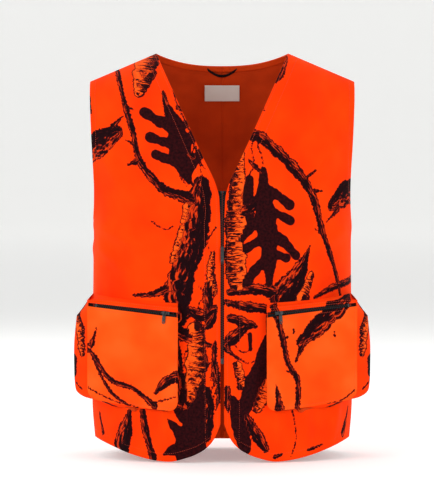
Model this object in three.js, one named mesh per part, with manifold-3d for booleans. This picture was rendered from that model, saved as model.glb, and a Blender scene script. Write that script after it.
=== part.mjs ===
// A blaze orange hunting vest, standing as it hangs on a body: cloth panels with turned edges, an open-ended
// front zip and two bellows pockets with zipped mouths. Millimetres, +Z up, the front faces -Y, and +X is the
// wearer's left. The cloth pieces are thin closed sheets on one shared body shape.
import * as THREE from "three";
import { mergeVertices } from "three/addons/utils/BufferGeometryUtils.js";
import Module from "manifold-3d";

const wasm = await Module();
wasm.setup();

// ---- Driving dimensions -------------------------------------------------------------------------------

const GAP = 0.3; // between pieces that are sewn or pressed together
const CLOTH = 1.2; // outer cloth with its turned edge
const FACING = 1.0; // inner facings, bindings and hem bands
const TAPE = 0.6; // zip tape

const NECK_HEIGHT = 700; // shoulder seam at the neck
const NECK_HALF = 115;
const SHOULDER_DROP = 49; // of the shoulder seam, from the neck to the armhole
const SHOULDER_HEIGHT = NECK_HEIGHT - SHOULDER_DROP;
const SHOULDER_HALF = 230;
const BACK_NECK_DROP = 20; // of the back neck below the shoulder seam
const ARMHOLE_DEPTH = 290; // from the shoulder seam at the neck down to the armpit
const ARMPIT_HEIGHT = NECK_HEIGHT - ARMHOLE_DEPTH;
const ARMPIT_HALF = 225;
const FRONT_DEPTH = 140; // of the chest, from the side seams to the front
const BACK_DEPTH = 130;
const SQUARENESS = 2.4; // exponent of the plan's superellipse: 2 is an ellipse, more is squarer
const FRONT_SHOULDER_ROLL = 200; // height over which the front curves up to the shoulder seam
const BACK_SHOULDER_ROLL = 260;

const FRONT_FACING_WIDTH = 18;
const ARMHOLE_FACING_WIDTH = 14;
const HEM_WIDTH = 15;
const SPLIT_SLIT = 0.8; // between the chest and the flap that opens below it

const NECKLINE_DEPTH = 238; // from the shoulder seam at the neck down to the zip
const V_BOTTOM = NECK_HEIGHT - NECKLINE_DEPTH;
const ZIP_BOTTOM = 168;
const ZIP_TAPE_WIDTH = 12;
const ZIP_SLIDER_HEIGHT = V_BOTTOM - 100; // middle of the slider: the zip is drawn up part of the way

const TOOTH_PITCH = 4;
const CHAIN_INNER = 0.8; // half of the slot between the two rows of teeth
const CHAIN_WIDTH = 1.9;
const CHAIN_THICK = 2.6;
const CHAIN_DROP = 0.4; // of the teeth below the cloth's outer face
const EDGE_HALF = CHAIN_INNER + CHAIN_WIDTH + 0.5; // half of the gap between the fronts along the zip
const RETAINER_HEIGHT = 9;
const STOP_HEIGHT = 2.6;

const SLIDER_HALF_WIDTH = EDGE_HALF - 0.4;
const SLIDER_LENGTH = 11;
const SLIDER_PLATE = 1.4;
const SLIDER_POST_HALF = 0.4;
const PULL_THICK = 1;
const PULL_WIDTH = 5.4;
const FRONT_PULL_LENGTH = 24;
const POCKET_PULL_LENGTH = 19;

const POCKET_INNER = { x: 76, depth: FRONT_DEPTH + 10 }; // pocket face, at its edge near the zip
const POCKET_OUTER = { x: ARMPIT_HALF + 7, depth: FRONT_DEPTH - 45 }; // and at its edge near the side seam
const POCKET_MOUTH_INNER = 253; // height of the mouth zip near the front
const POCKET_MOUTH_OUTER = 267; // height of the mouth zip near the side
const POCKET_BOTTOM_INNER = 88;
const POCKET_BOTTOM_OUTER = 106;
const POCKET_BULGE = 9; // of the face, where a load would sit
const POCKET_BAND = 8; // flat cloth band above the mouth zip
const GUSSET_SWELL = 0.3; // how far the outer gusset bellies out, as a share of its depth
const POCKET_ROOF_RISE = 7; // from that band up to the seam on the front
const POCKET_CORNER = 16; // radius of the lower corners
// Where the outer gusset is sewn on, as a share of the front's quarter turn.
const POCKET_SIDE_SEAM_SHARE = 0.93;
const POCKET_TAPE_WIDTH = 9;
const POCKET_ZIP_INSET = 18; // from the face's edges to the ends of the teeth

const LOOP_HALF = 26;
const LOOP_WIDTH = 6;
const LOOP_SAG = 11;
const LOOP_STAND = 6;
const LOOP_CLEAR = 0.7; // of its ends from the curved facing
const LABEL_ROWS_DOWN = 3; // rows of the back panel's grid between the neck and the label
const FACING_ABOVE_ZIP = 14; // where the neck facing starts, clear of the zip's tape

// ---- Small tools --------------------------------------------------------------------------------------

const plain = { bottom: 0, top: 0, start: 0, end: 0 }; // no inset of a sheet at its four edges

const vec = (x, y, z) => new THREE.Vector3(x, y, z);
const mix = THREE.MathUtils.lerp;
const clamp = THREE.MathUtils.clamp;

// A smooth curve through [at, value] pairs, read at one place.
function smooth(pairs, at) {
  const last = pairs.length - 1;
  if (at <= pairs[0][0]) return pairs[0][1];
  if (at >= pairs[last][0]) return pairs[last][1];
  const k = pairs.findIndex((pair) => pair[0] > at) - 1;
  const slope = (i) => {
    const [a, b] = [pairs[Math.max(i - 1, 0)], pairs[Math.min(i + 1, last)]];
    return (b[1] - a[1]) / (b[0] - a[0]);
  };
  const width = pairs[k + 1][0] - pairs[k][0];
  const t = (at - pairs[k][0]) / width;
  const rest = 1 - t;
  return (
    pairs[k][1] * rest * rest * (1 + 2 * t) +
    pairs[k + 1][1] * t * t * (3 - 2 * t) +
    slope(k) * width * t * rest * rest -
    slope(k + 1) * width * t * t * rest
  );
}

function signedVolume(points, index) {
  let six = 0;
  for (let i = 0; i < index.length; i += 3) {
    const [a, b, c] = [points[index[i]], points[index[i + 1]], points[index[i + 2]]];
    six += a.dot(vec(0, 0, 0).crossVectors(b, c));
  }
  return six;
}

function geometryOf(points, index) {
  const turned = signedVolume(points, index) < 0;
  const faces = turned ? index.slice().reverse() : index;
  const made = new THREE.BufferGeometry();
  made.setAttribute("position", new THREE.Float32BufferAttribute(points.flatMap((p) => p.toArray()), 3));
  made.setIndex(faces);
  made.computeVertexNormals();
  return made;
}

// A closed sheet between two equal grids of points, outer and inner.
function sheetBetween(outer, inner) {
  const rows = outer.length;
  const columns = outer[0].length;
  const points = [...outer.flat(), ...inner.flat()];
  const near = (j, i) => j * columns + i;
  const far = (j, i) => rows * columns + near(j, i);
  const index = [];
  const quad = (a, b, c, d) => index.push(a, b, c, a, c, d);
  for (let j = 0; j + 1 < rows; j++) {
    for (let i = 0; i + 1 < columns; i++) {
      quad(near(j, i), near(j, i + 1), near(j + 1, i + 1), near(j + 1, i));
      index.push(far(j, i), far(j + 1, i + 1), far(j, i + 1));
      index.push(far(j, i), far(j + 1, i), far(j + 1, i + 1));
    }
    quad(near(j + 1, 0), far(j + 1, 0), far(j, 0), near(j, 0));
    quad(near(j, columns - 1), far(j, columns - 1), far(j + 1, columns - 1), near(j + 1, columns - 1));
  }
  for (let i = 0; i + 1 < columns; i++) {
    quad(near(0, i), far(0, i), far(0, i + 1), near(0, i + 1));
    quad(near(rows - 1, i + 1), far(rows - 1, i + 1), far(rows - 1, i), near(rows - 1, i));
  }
  return geometryOf(points, index);
}

// Moves the ends of a list of grid points inwards, which leaves a gap beside them.
function drawnIn(list, start, end) {
  const made = list.slice();
  const last = list.length - 1;
  const toward = (from, to, by) => {
    const step = to.p.clone().sub(from.p);
    return { p: from.p.clone().addScaledVector(step, by / step.length()), n: from.n };
  };
  if (start) made[0] = toward(list[0], list[1], start);
  if (end) made[last] = toward(list[last], list[last - 1], end);
  return made;
}

function flipped(grid) {
  return grid[0].map((_, i) => grid.map((row) => row[i]));
}

// The part of a panel between the given rows and columns, as a sheet between two depths below its face.
function patch(grid, rows, columns, near, far, inset = plain) {
  const part = grid.slice(rows[0], rows[1] + 1).map((row) => row.slice(columns[0], columns[1] + 1));
  const across = part.map((row) => drawnIn(row, inset.start, inset.end));
  const cut = flipped(flipped(across).map((column) => drawnIn(column, inset.bottom, inset.top)));
  const at = (depth) => cut.map((row) => row.map(({ p, n }) => p.clone().addScaledVector(n, -depth)));
  return sheetBetween(at(near), at(far));
}

function mirrored(geometry) {
  const made = plainCopy(geometry);
  made.scale(-1, 1, 1);
  made.setIndex(Array.from(made.index.array).reverse());
  made.computeVertexNormals();
  return made;
}

// Only the points and faces, with the corners that share a place joined.
function plainCopy(geometry) {
  const made = geometry.clone();
  made.deleteAttribute("normal");
  made.deleteAttribute("uv");
  return mergeVertices(made, 1e-4);
}

function box(x, y, z) {
  const made = new THREE.BoxGeometry(x[1] - x[0], y[1] - y[0], z[1] - z[0]);
  return made.translate((x[0] + x[1]) / 2, (y[0] + y[1]) / 2, (z[0] + z[1]) / 2);
}

function solid(geometry) {
  const merged = plainCopy(geometry);
  const { Manifold, Mesh } = wasm;
  return new Manifold(
    new Mesh({
      numProp: 3,
      vertProperties: merged.attributes.position.array,
      triVerts: new Uint32Array(merged.index.array),
    }),
  );
}

function geometryFrom(manifold) {
  const mesh = manifold.getMesh();
  const made = new THREE.BufferGeometry();
  made.setAttribute("position", new THREE.BufferAttribute(new Float32Array(mesh.vertProperties), 3));
  made.setIndex(Array.from(mesh.triVerts));
  made.computeVertexNormals();
  return made;
}

function joined(geometries) {
  return geometryFrom(geometries.map(solid).reduce((a, b) => a.add(b)));
}

function cutFrom(body, tool) {
  return geometryFrom(solid(body).subtract(solid(tool)));
}

// ---- The body shape -----------------------------------------------------------------------------------

const SHOULDER_SLOPE = (NECK_HEIGHT - SHOULDER_HEIGHT) / (SHOULDER_HALF - NECK_HALF);
const shoulderLine = (x) => NECK_HEIGHT - SHOULDER_SLOPE * (Math.abs(x) - NECK_HALF);

// Top of the roll over the shoulders: the shoulder line, rounded off across the neck.
function rollTop(x) {
  if (Math.abs(x) > NECK_HALF) return shoulderLine(x);
  return NECK_HEIGHT + (SHOULDER_SLOPE * (NECK_HALF ** 2 - x ** 2)) / (2 * NECK_HALF);
}

// Half of the width at each height. Above the armpit it is the width of a body that the armholes cut away.
const HALF_WIDTH = [
  [0, ARMPIT_HALF - 11],
  [ARMPIT_HEIGHT * 0.6, ARMPIT_HALF - 9],
  [ARMPIT_HEIGHT, ARMPIT_HALF],
  [ARMPIT_HEIGHT + 70, ARMPIT_HALF + 10],
  [SHOULDER_HEIGHT - 90, SHOULDER_HALF + 29],
  [SHOULDER_HEIGHT, SHOULDER_HALF + 45],
  [NECK_HEIGHT + 60, SHOULDER_HALF + 55],
];

const FRONT_ARMHOLE = [
  [ARMPIT_HEIGHT, ARMPIT_HALF],
  [ARMPIT_HEIGHT + 28, ARMPIT_HALF - 2.5],
  [ARMPIT_HEIGHT + 70, ARMPIT_HALF - 3],
  [SHOULDER_HEIGHT - 90, SHOULDER_HALF - 4],
  [SHOULDER_HEIGHT - 30, SHOULDER_HALF - 1],
  [SHOULDER_HEIGHT, SHOULDER_HALF],
];

const BACK_ARMHOLE = [
  [ARMPIT_HEIGHT, ARMPIT_HALF],
  [ARMPIT_HEIGHT + 28, ARMPIT_HALF - 1],
  [ARMPIT_HEIGHT + 70, ARMPIT_HALF + 1.5],
  [SHOULDER_HEIGHT - 90, SHOULDER_HALF + 1],
  [SHOULDER_HEIGHT - 30, SHOULDER_HALF],
  [SHOULDER_HEIGHT, SHOULDER_HALF],
];

// Half of the gap between the fronts: parted a little above the slider, and the V neckline above the zip.
const FRONT_EDGE = [
  [ZIP_SLIDER_HEIGHT - 60, EDGE_HALF],
  [ZIP_SLIDER_HEIGHT + 20, EDGE_HALF],
  [V_BOTTOM - 15, EDGE_HALF + 2],
  [V_BOTTOM, EDGE_HALF + 4.5],
  [V_BOTTOM + 20, 14.5],
  [V_BOTTOM + 60, 34],
  [NECK_HEIGHT, NECK_HALF],
];

// Height of the hem by distance from the middle: a rounded corner below the zip, lowest at mid front, and
// rising to the side seam.
const FRONT_HEM = [
  [3, 66],
  [7, 54],
  [13, 41],
  [22, 29],
  [36, 18],
  [58, 8],
  [94, 0],
  [150, 9],
  [ARMPIT_HALF - 11, 32],
];
const BACK_HEM_MIDDLE = 14;

function halfWidth(z) {
  return smooth(HALF_WIDTH, z);
}

// A point of the body shape: turn 0 is the middle of the front (or back) and 1 is the side seam.
function bodyPoint(turn, z, depth, roll) {
  const angle = (clamp(turn, -1, 1) * Math.PI) / 2;
  const power = 2 / SQUARENESS;
  const x = halfWidth(z) * Math.sign(angle) * Math.abs(Math.sin(angle)) ** power;
  const below = clamp((rollTop(x) - z) / roll, 0, 1);
  const curve = Math.sqrt(1 - (1 - below) ** 2);
  return vec(x, depth * Math.abs(Math.cos(angle)) ** power * curve, z);
}

function turnOf(x, z) {
  const share = clamp(x / halfWidth(z), 0, 1);
  return (Math.asin(share ** (SQUARENESS / 2)) * 2) / Math.PI;
}

const frontPoint = (turn, z) => bodyPoint(turn, z, -FRONT_DEPTH, FRONT_SHOULDER_ROLL);
const backPoint = (turn, z) => bodyPoint(turn, z, BACK_DEPTH, BACK_SHOULDER_ROLL);

// The height at which a column of the panel meets a line given as a height at each x.
function meeting(turnAt, point, line, guess) {
  let z = guess;
  for (let i = 0; i < 30; i++) z = mix(z, line(Math.abs(point(turnAt(z), z).x)), 0.7);
  return z;
}

const splitLine = (x) => V_BOTTOM - (V_BOTTOM - ARMPIT_HEIGHT) * clamp(x / ARMPIT_HALF, 0, 1);
const hemLine = (x) => smooth(FRONT_HEM, x);
const backHemLine = (x) => mix(BACK_HEM_MIDDLE, hemLine(halfWidth(0)), (x / halfWidth(0)) ** 2);

function backTopLine(x) {
  if (x > NECK_HALF) return shoulderLine(x);
  return NECK_HEIGHT - BACK_NECK_DROP * (1 - (x / NECK_HALF) ** 2.5);
}

const innerTurn = (z) => turnOf(smooth(FRONT_EDGE, z), z);
const outerTurn = (z) => (z <= ARMPIT_HEIGHT ? 1 : turnOf(smooth(FRONT_ARMHOLE, z), z));
const backTurn = (z) => (z <= ARMPIT_HEIGHT ? 1 : turnOf(smooth(BACK_ARMHOLE, z), z));

// u runs from the front edge to the side, v from the bottom to the top.
function frontSurface(bottomLine, topLine, easing) {
  return (u, v) => {
    const turnAt = (z) => mix(innerTurn(z), outerTurn(z), u);
    const bottom = meeting(turnAt, frontPoint, bottomLine, ARMPIT_HEIGHT / 2);
    const top = meeting(turnAt, frontPoint, topLine, NECK_HEIGHT);
    const z = top - (top - bottom) * (1 - v) ** easing;
    return frontPoint(turnAt(z), z);
  };
}

const lowerFront = frontSurface(hemLine, (x) => splitLine(x) - SPLIT_SLIT / 2, 1);
const upperFront = frontSurface((x) => splitLine(x) + SPLIT_SLIT / 2, shoulderLine, 1.7);

const BACK_EASING = 1.5;
function backSurface(u, v) {
  const turnAt = (z) => (2 * u - 1) * backTurn(z);
  const bottom = meeting(turnAt, backPoint, backHemLine, ARMPIT_HEIGHT / 2);
  const top = meeting(turnAt, backPoint, backTopLine, NECK_HEIGHT);
  const z = top - (top - bottom) * (1 - v) ** BACK_EASING;
  return backPoint(turnAt(z), z);
}

// ---- Panels as grids of points and normals ------------------------------------------------------------

function normalAt(surface, u, v, side) {
  const step = 1e-4;
  const along = surface(Math.min(u + step, 1), v).sub(surface(Math.max(u - step, 0), v));
  const up = surface(u, Math.min(v + step, 1)).sub(surface(u, Math.max(v - step, 0)));
  return along.cross(up).normalize().multiplyScalar(side);
}

function lengthAlong(surface, v) {
  const steps = 24;
  let sum = 0;
  for (let i = 0; i < steps; i++) sum += surface(i / steps, v).distanceTo(surface((i + 1) / steps, v));
  return sum;
}

// Columns: a strip of fixed width at either end where asked for, and even columns between. The counts are
// those of the even columns up to each stop, and the last count runs to the end.
function panel(surface, rows, first, last, stops, counts, side) {
  return rows.map((v) => {
    const length = lengthAlong(surface, v);
    const knots = [first / length, ...stops, 1 - last / length];
    const even = counts.flatMap((count, k) => evenSteps(knots[k], knots[k + 1], count).slice(0, -1));
    const shares = [...(first ? [0] : []), ...even, knots.at(-1), ...(last ? [1] : [])];
    return shares.map((u) => ({ p: surface(u, v), n: normalAt(surface, u, v, side) }));
  });
}

function evenSteps(start, end, count) {
  return Array.from({ length: count + 1 }, (_, i) => mix(start, end, i / count));
}

const LOWER_ROWS = [0, ...evenSteps(HEM_WIDTH / ARMPIT_HEIGHT, 1, 11)];
const UPPER_ROWS = evenSteps(0, 1, 12);
const lower = panel(lowerFront, LOWER_ROWS, FRONT_FACING_WIDTH, 0, [], [15], 1);
const upper = panel(upperFront, UPPER_ROWS, FRONT_FACING_WIDTH, ARMHOLE_FACING_WIDTH, [], [9], 1);

const backSide = meeting(() => 1, backPoint, backHemLine, 0);
const armpitShare = (ARMPIT_HEIGHT - backSide) / (SHOULDER_HEIGHT - backSide);
const ARMPIT_ROW = 1 - (1 - armpitShare) ** (1 / BACK_EASING);
const BACK_LOWER_ROWS = [0, ...evenSteps(HEM_WIDTH / (BACK_EASING * NECK_HEIGHT), ARMPIT_ROW, 7)];
const BACK_ROWS = [...BACK_LOWER_ROWS, ...evenSteps(ARMPIT_ROW, 1, 8).slice(1)];
// A column of the back ends at each neck point.
const neckTurn = turnOf(NECK_HALF, NECK_HEIGHT) / backTurn(NECK_HEIGHT);
const NECK_STOPS = [0.5 - neckTurn / 2, 0.5 + neckTurn / 2];
const BACK_COLUMNS = [6, 10, 6];
const armholeStrip = ARMHOLE_FACING_WIDTH;
const back = panel(backSurface, BACK_ROWS, armholeStrip, armholeStrip, NECK_STOPS, BACK_COLUMNS, -1);

const lowerTop = lower.length - 1;
const lowerSide = lower[0].length - 1;
const upperTop = upper.length - 1;
const upperSide = upper[0].length - 1;
const backTop = back.length - 1;
const backSideColumn = back[0].length - 1;
const armpitRow = BACK_LOWER_ROWS.length - 1;

// ---- Cloth pieces on the body shape -------------------------------------------------------------------

const seam = GAP / 2;
const behindCloth = CLOTH + GAP;
const behindTape = behindCloth + TAPE + GAP;

const frontLower = patch(lower, [0, lowerTop], [0, lowerSide], 0, CLOTH, { ...plain, end: seam });
const frontUpper = patch(upper, [0, upperTop], [0, upperSide], 0, CLOTH, { ...plain, top: seam });

function backPanel() {
  // The back stops short of the side seams and the shoulder seams, and keeps its full height at the neck.
  const rows = back.map((row) => drawnIn(row, seam, seam));
  const points = (depth) =>
    rows.map((row) =>
      row.map(({ p, n }) => {
        const at = p.clone().addScaledVector(n, -depth);
        return vec(at.x, Math.max(at.y, seam), at.z);
      }),
    );
  return sheetBetween(points(0), points(CLOTH));
}

const hemLayer = [behindCloth, behindCloth + FACING];
const hemInset = { ...plain, top: seam, end: seam };
const frontHem = patch(lower, [0, 1], [0, lowerSide], ...hemLayer, hemInset);
const backHem = patch(back, [0, 1], [0, backSideColumn], ...hemLayer, { ...hemInset, start: seam });
const zipFacingInset = { ...plain, bottom: seam };
const zipFacing = patch(lower, [1, lowerTop], [0, 1], behindTape, behindTape + FACING, zipFacingInset);

function armholeFacing() {
  const front = upper.map((row) => row.slice(upperSide - 1));
  const rear = back.slice(armpitRow).map((row) => row.slice(backSideColumn - 1));
  const ring = [...front, ...rear.reverse().slice(1)];
  return patch(ring, [0, ring.length - 1], [0, 1], ...hemLayer, { ...plain, top: seam });
}

function neckFacing() {
  // Up the left edge, round the back of the neck and down the right edge, as rows of two points.
  const mirrorPoint = ({ p, n }) => ({ p: vec(-p.x, p.y, p.z), n: vec(-n.x, n.y, n.z) });
  const leftEdge = upper.map((row) => [row[0], row[1]]);
  const top = back[backTop];
  const below = FRONT_FACING_WIDTH;
  const neck = [];
  // The columns at the neck points themselves meet the front edges, whose last rows stand there.
  const firstInside = 1 + BACK_COLUMNS[0] + 1;
  for (let i = firstInside; i < firstInside + BACK_COLUMNS[1] - 1; i++) {
    const column = back.map((row) => row[i]);
    const lowerPoint = column.findLast(({ p }) => p.distanceTo(top[i].p) >= below);
    const upperIndex = column.indexOf(lowerPoint) + 1;
    const a = column[upperIndex];
    const reach = a.p.distanceTo(top[i].p);
    const t = (below - reach) / (lowerPoint.p.distanceTo(top[i].p) - reach);
    const p = a.p.clone().lerp(lowerPoint.p, t);
    neck.push([top[i], { p, n: a.n.clone().lerp(lowerPoint.n, t).normalize() }]);
  }
  neck.reverse();
  const rightEdge = leftEdge.map((pair) => pair.map(mirrorPoint)).reverse();
  const rows = [...leftEdge, ...neck, ...rightEdge];
  const ends = { ...plain, bottom: FACING_ABOVE_ZIP, top: FACING_ABOVE_ZIP };
  return patch(rows, [0, rows.length - 1], [0, 1], ...hemLayer, ends);
}

// A strip of cloth along a line of points, given with the direction across it and the one it faces.
function ribbon(points, across, width, thickness) {
  const rows = (depth) =>
    points.map(({ p, out }) => {
      const middle = p.clone().addScaledVector(out, -depth);
      return [-width / 2, width / 2].map((w) => middle.clone().addScaledVector(across, w));
    });
  return sheetBetween(rows(0), rows(thickness));
}

// The loop's ends lie on the neck facing, and its middle stands off it and hangs lower.
function hangerLoop() {
  const out = normalAt(backSurface, 0.5, 1, -1);
  const up = vec(1, 0, 0).cross(out).normalize();
  up.multiplyScalar(Math.sign(up.z));
  const inside = behindCloth + FACING + LOOP_CLEAR;
  const points = evenSteps(-1, 1, 16).map((share) => {
    const bow = Math.cos((share * Math.PI) / 2);
    const z = backTopLine(LOOP_HALF);
    const p = backPoint(turnOf(LOOP_HALF, z), z).setX(share * LOOP_HALF);
    p.addScaledVector(out, -inside - LOOP_STAND * bow);
    return { p: p.addScaledVector(up, -LOOP_WIDTH - LOOP_SAG * bow), out };
  });
  return ribbon(points, up, LOOP_WIDTH, FACING);
}

// A blank label on the inside of the back, a little below the neck facing.
function neckLabel() {
  const middle = (back[0].length - 1) / 2;
  const row = backTop - LABEL_ROWS_DOWN;
  return patch(back, [row, row + 1], [middle - 1, middle + 1], behindCloth, behindCloth + TAPE);
}

// ---- Zips, drawn in a frame of their own ---------------------------------------------------------------
// Z runs along the zip to its closed end, X across it, and -Y out of the cloth, whose outer face is at Y 0.

const TEETH_BACK = CHAIN_DROP + CHAIN_THICK;
const PLATE_FRONT = CHAIN_DROP - GAP - SLIDER_PLATE;

function zipTape(length, width, start, sink = 0) {
  const edge = EDGE_HALF - 0.2;
  const depth = behindCloth + sink;
  return box([edge, edge + width], [depth, depth + TAPE], [start, length]);
}

// One row of teeth on its bead. The bead lies against the tape's edge.
function zipTeeth(from, to, shift) {
  const bead = CHAIN_INNER + CHAIN_WIDTH;
  const root = bead - 0.8;
  const shape = new THREE.Shape();
  shape.moveTo(bead, from);
  shape.lineTo(bead, to);
  shape.lineTo(root, to);
  const count = Math.floor((to - from - TOOTH_PITCH) / TOOTH_PITCH);
  for (let i = count - 1; i >= 0; i--) {
    const middle = from + (i + 0.75 + shift) * TOOTH_PITCH;
    shape.lineTo(root, middle + TOOTH_PITCH * 0.3);
    shape.lineTo(CHAIN_INNER, middle + TOOTH_PITCH * 0.22);
    shape.lineTo(CHAIN_INNER, middle - TOOTH_PITCH * 0.22);
    shape.lineTo(root, middle - TOOTH_PITCH * 0.3);
  }
  shape.lineTo(root, from);
  const made = new THREE.ExtrudeGeometry(shape, { depth: CHAIN_THICK, bevelEnabled: false });
  made.rotateX(Math.PI / 2);
  return made.translate(0, CHAIN_DROP + CHAIN_THICK, 0);
}

const BAIL = { half: 1, inside: 1.7, bar: 1, span: 3.2 };
const PULL_AXIS_OUT = PLATE_FRONT - BAIL.inside / 2; // Y of the pull's hinge

// Two plates, the post between them, and a bail that stands on the front plate. turned lays the bail across.
function zipSlider(turned) {
  const half = SLIDER_LENGTH / 2;
  const plate = (y0, y1) => {
    const shape = new THREE.Shape();
    shape.moveTo(-SLIDER_HALF_WIDTH * 0.7, -half);
    shape.lineTo(SLIDER_HALF_WIDTH * 0.7, -half);
    shape.lineTo(SLIDER_HALF_WIDTH, -half * 0.3);
    shape.lineTo(SLIDER_HALF_WIDTH, half * 0.6);
    shape.lineTo(SLIDER_HALF_WIDTH * 0.75, half);
    shape.lineTo(-SLIDER_HALF_WIDTH * 0.75, half);
    shape.lineTo(-SLIDER_HALF_WIDTH, half * 0.6);
    shape.lineTo(-SLIDER_HALF_WIDTH, -half * 0.3);
    const made = new THREE.ExtrudeGeometry(shape, { depth: y1 - y0, bevelEnabled: false });
    made.rotateX(Math.PI / 2);
    return made.translate(0, y1, 0);
  };
  const front = plate(PLATE_FRONT, PLATE_FRONT + SLIDER_PLATE);
  const rearStart = TEETH_BACK + GAP;
  const rear = plate(rearStart, rearStart + SLIDER_PLATE);
  const post = box(
    [-SLIDER_POST_HALF, SLIDER_POST_HALF],
    [PLATE_FRONT + SLIDER_PLATE / 2, rearStart + SLIDER_PLATE / 2],
    [half - 3, half],
  );
  const sink = PLATE_FRONT + 0.3;
  const { half: wide, inside, bar, span } = BAIL;
  const legUp = box([-wide, wide], [PLATE_FRONT - inside - bar, sink], [span - bar, span]);
  const legDown = box([-wide, wide], [PLATE_FRONT - inside - bar, sink], [-span, bar - span]);
  const top = box([-wide, wide], [PLATE_FRONT - inside - bar, PLATE_FRONT - inside], [-span, span]);
  const bail = [legUp, legDown, top];
  if (turned) bail.forEach((piece) => piece.rotateY(Math.PI / 2));
  return joined([front, rear, post, ...bail]);
}

// A flat pull whose eye goes round the bail. Its hinge runs along X through the origin, and it hangs down -Z.
function zipPull(length) {
  const eye = BAIL.half + 0.5;
  const outline = new THREE.Shape();
  const half = PULL_WIDTH / 2;
  outline.moveTo(-half, PULL_THICK / 2);
  outline.lineTo(-half, 6 - length);
  outline.absarc(0, 3 - length, half, Math.PI, Math.PI * 2, false);
  outline.lineTo(half, PULL_THICK / 2);
  const window = new THREE.Path();
  window.moveTo(-eye, -PULL_THICK / 2);
  window.lineTo(-eye, -4.4);
  window.lineTo(eye, -4.4);
  window.lineTo(eye, -PULL_THICK / 2);
  const ring = new THREE.Path();
  ring.absarc(0, 3 - length, 1.4, 0, Math.PI * 2, true);
  outline.holes.push(window, ring);
  const made = new THREE.ExtrudeGeometry(outline, {
    depth: PULL_THICK,
    bevelEnabled: false,
    curveSegments: 6,
  });
  made.rotateX(Math.PI / 2);
  return made.translate(0, PULL_THICK / 2, 0);
}

function endStop(at, side) {
  const [start, end] = [CHAIN_INNER - 0.3, CHAIN_INNER + CHAIN_WIDTH];
  const y = [CHAIN_DROP - 0.2, TEETH_BACK + 0.2];
  return box(side > 0 ? [start, end] : [-end, -start], y, [at, at + STOP_HEIGHT]);
}

// ---- Materials ----------------------------------------------------------------------------------------

function material(color, roughness, metalness = 0) {
  return new THREE.MeshStandardMaterial({ color, roughness, metalness });
}
const blaze = () => material("#ff4a0a", 0.85);
const facingCloth = () => material("#e8450f", 0.9);
const zipBlack = () => material("#121214", 0.6);
const enamel = () => material("#18181b", 0.35, 0.7);

// ---- Assembly -----------------------------------------------------------------------------------------

const vest = new THREE.Group();
const add = (name, geometry, paint) => {
  const mesh = new THREE.Mesh(geometry, paint);
  mesh.name = name;
  vest.add(mesh);
  return mesh;
};

add("back_panel", backPanel(), blaze());
add("back_hem_band", backHem, facingCloth());
add("neck_facing", neckFacing(), facingCloth());
add("hanger_loop", hangerLoop(), zipBlack());
add("neck_label", neckLabel(), material("#e9e6df", 0.8));

const sides = [
  ["left", (geometry) => geometry],
  ["right", mirrored],
];
for (const [side, place] of sides) {
  add(`front_chest_${side}`, place(frontUpper), blaze());
  add(`front_flap_${side}`, place(frontLower), blaze());
  add(`armhole_facing_${side}`, place(armholeFacing()), facingCloth());
  add(`front_hem_band_${side}`, place(frontHem), facingCloth());
  add(`zip_facing_${side}`, place(zipFacing), facingCloth());
}

// The front zip. Its teeth run from the retainer box up to the top stops.
const zipFrame = new THREE.Matrix4().makeTranslation(0, -FRONT_DEPTH, 0);
const teethFrom = ZIP_BOTTOM + RETAINER_HEIGHT + GAP;
const teethTo = V_BOTTOM - STOP_HEIGHT - GAP;

// The front's face falls back a little across the tape, which is flat, so the tape lies deeper to clear it.
const faceFall = FRONT_DEPTH + frontPoint(turnOf(EDGE_HALF + FRONT_FACING_WIDTH, ZIP_BOTTOM), ZIP_BOTTOM).y;
const tapeSink = Math.max(0, (faceFall * ZIP_TAPE_WIDTH) / FRONT_FACING_WIDTH - GAP / 2);

function frontZip() {
  const tape = zipTape(V_BOTTOM, ZIP_TAPE_WIDTH, ZIP_BOTTOM, tapeSink);
  add("zip_tape_left", tape.clone().applyMatrix4(zipFrame), zipBlack());
  add("zip_tape_right", mirrored(tape.clone().applyMatrix4(zipFrame)), zipBlack());
  add("zip_teeth_left", zipTeeth(teethFrom, teethTo, 0).applyMatrix4(zipFrame), zipBlack());
  add("zip_teeth_right", mirrored(zipTeeth(teethFrom, teethTo, 0.5).applyMatrix4(zipFrame)), zipBlack());
  const stopAt = teethTo + GAP;
  add("zip_top_stop_left", endStop(stopAt, 1).applyMatrix4(zipFrame), enamel());
  add("zip_top_stop_right", endStop(stopAt, -1).applyMatrix4(zipFrame), enamel());

  // The pin stands on the left tape and drops into the retainer box, which is open towards it.
  const retainerTop = ZIP_BOTTOM + RETAINER_HEIGHT;
  const pinX = [CHAIN_INNER + 0.2, CHAIN_INNER + 1.6];
  const pinY = [CHAIN_DROP + 0.6, TEETH_BACK - 0.6];
  const pin = box(pinX, pinY, [ZIP_BOTTOM + 1.5, teethFrom - GAP]);
  add("zip_insertion_pin", pin.applyMatrix4(zipFrame), enamel());
  const blockX = [-EDGE_HALF + GAP, EDGE_HALF - GAP];
  const block = box(blockX, [CHAIN_DROP - 0.2, TEETH_BACK + 1], [ZIP_BOTTOM, retainerTop]);
  const socketX = [CHAIN_INNER - 0.2, EDGE_HALF];
  const socket = box(socketX, [CHAIN_DROP - 1, TEETH_BACK - 0.2], [ZIP_BOTTOM + 1.1, retainerTop + 1]);
  add("zip_retainer_box", cutFrom(block, socket).applyMatrix4(zipFrame), enamel());

  const sliderFrame = zipFrame.clone().multiply(new THREE.Matrix4().makeTranslation(0, 0, ZIP_SLIDER_HEIGHT));
  const pullFrame = sliderFrame.clone().multiply(new THREE.Matrix4().makeTranslation(0, PULL_AXIS_OUT, 0));
  add("zip_slider", zipSlider(false).applyMatrix4(sliderFrame), enamel());
  add("zip_pull", zipPull(FRONT_PULL_LENGTH).applyMatrix4(pullFrame), enamel());
}
frontZip();

// ---- Bellows pockets, drawn on the wearer's left and mirrored ------------------------------------------

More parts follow.
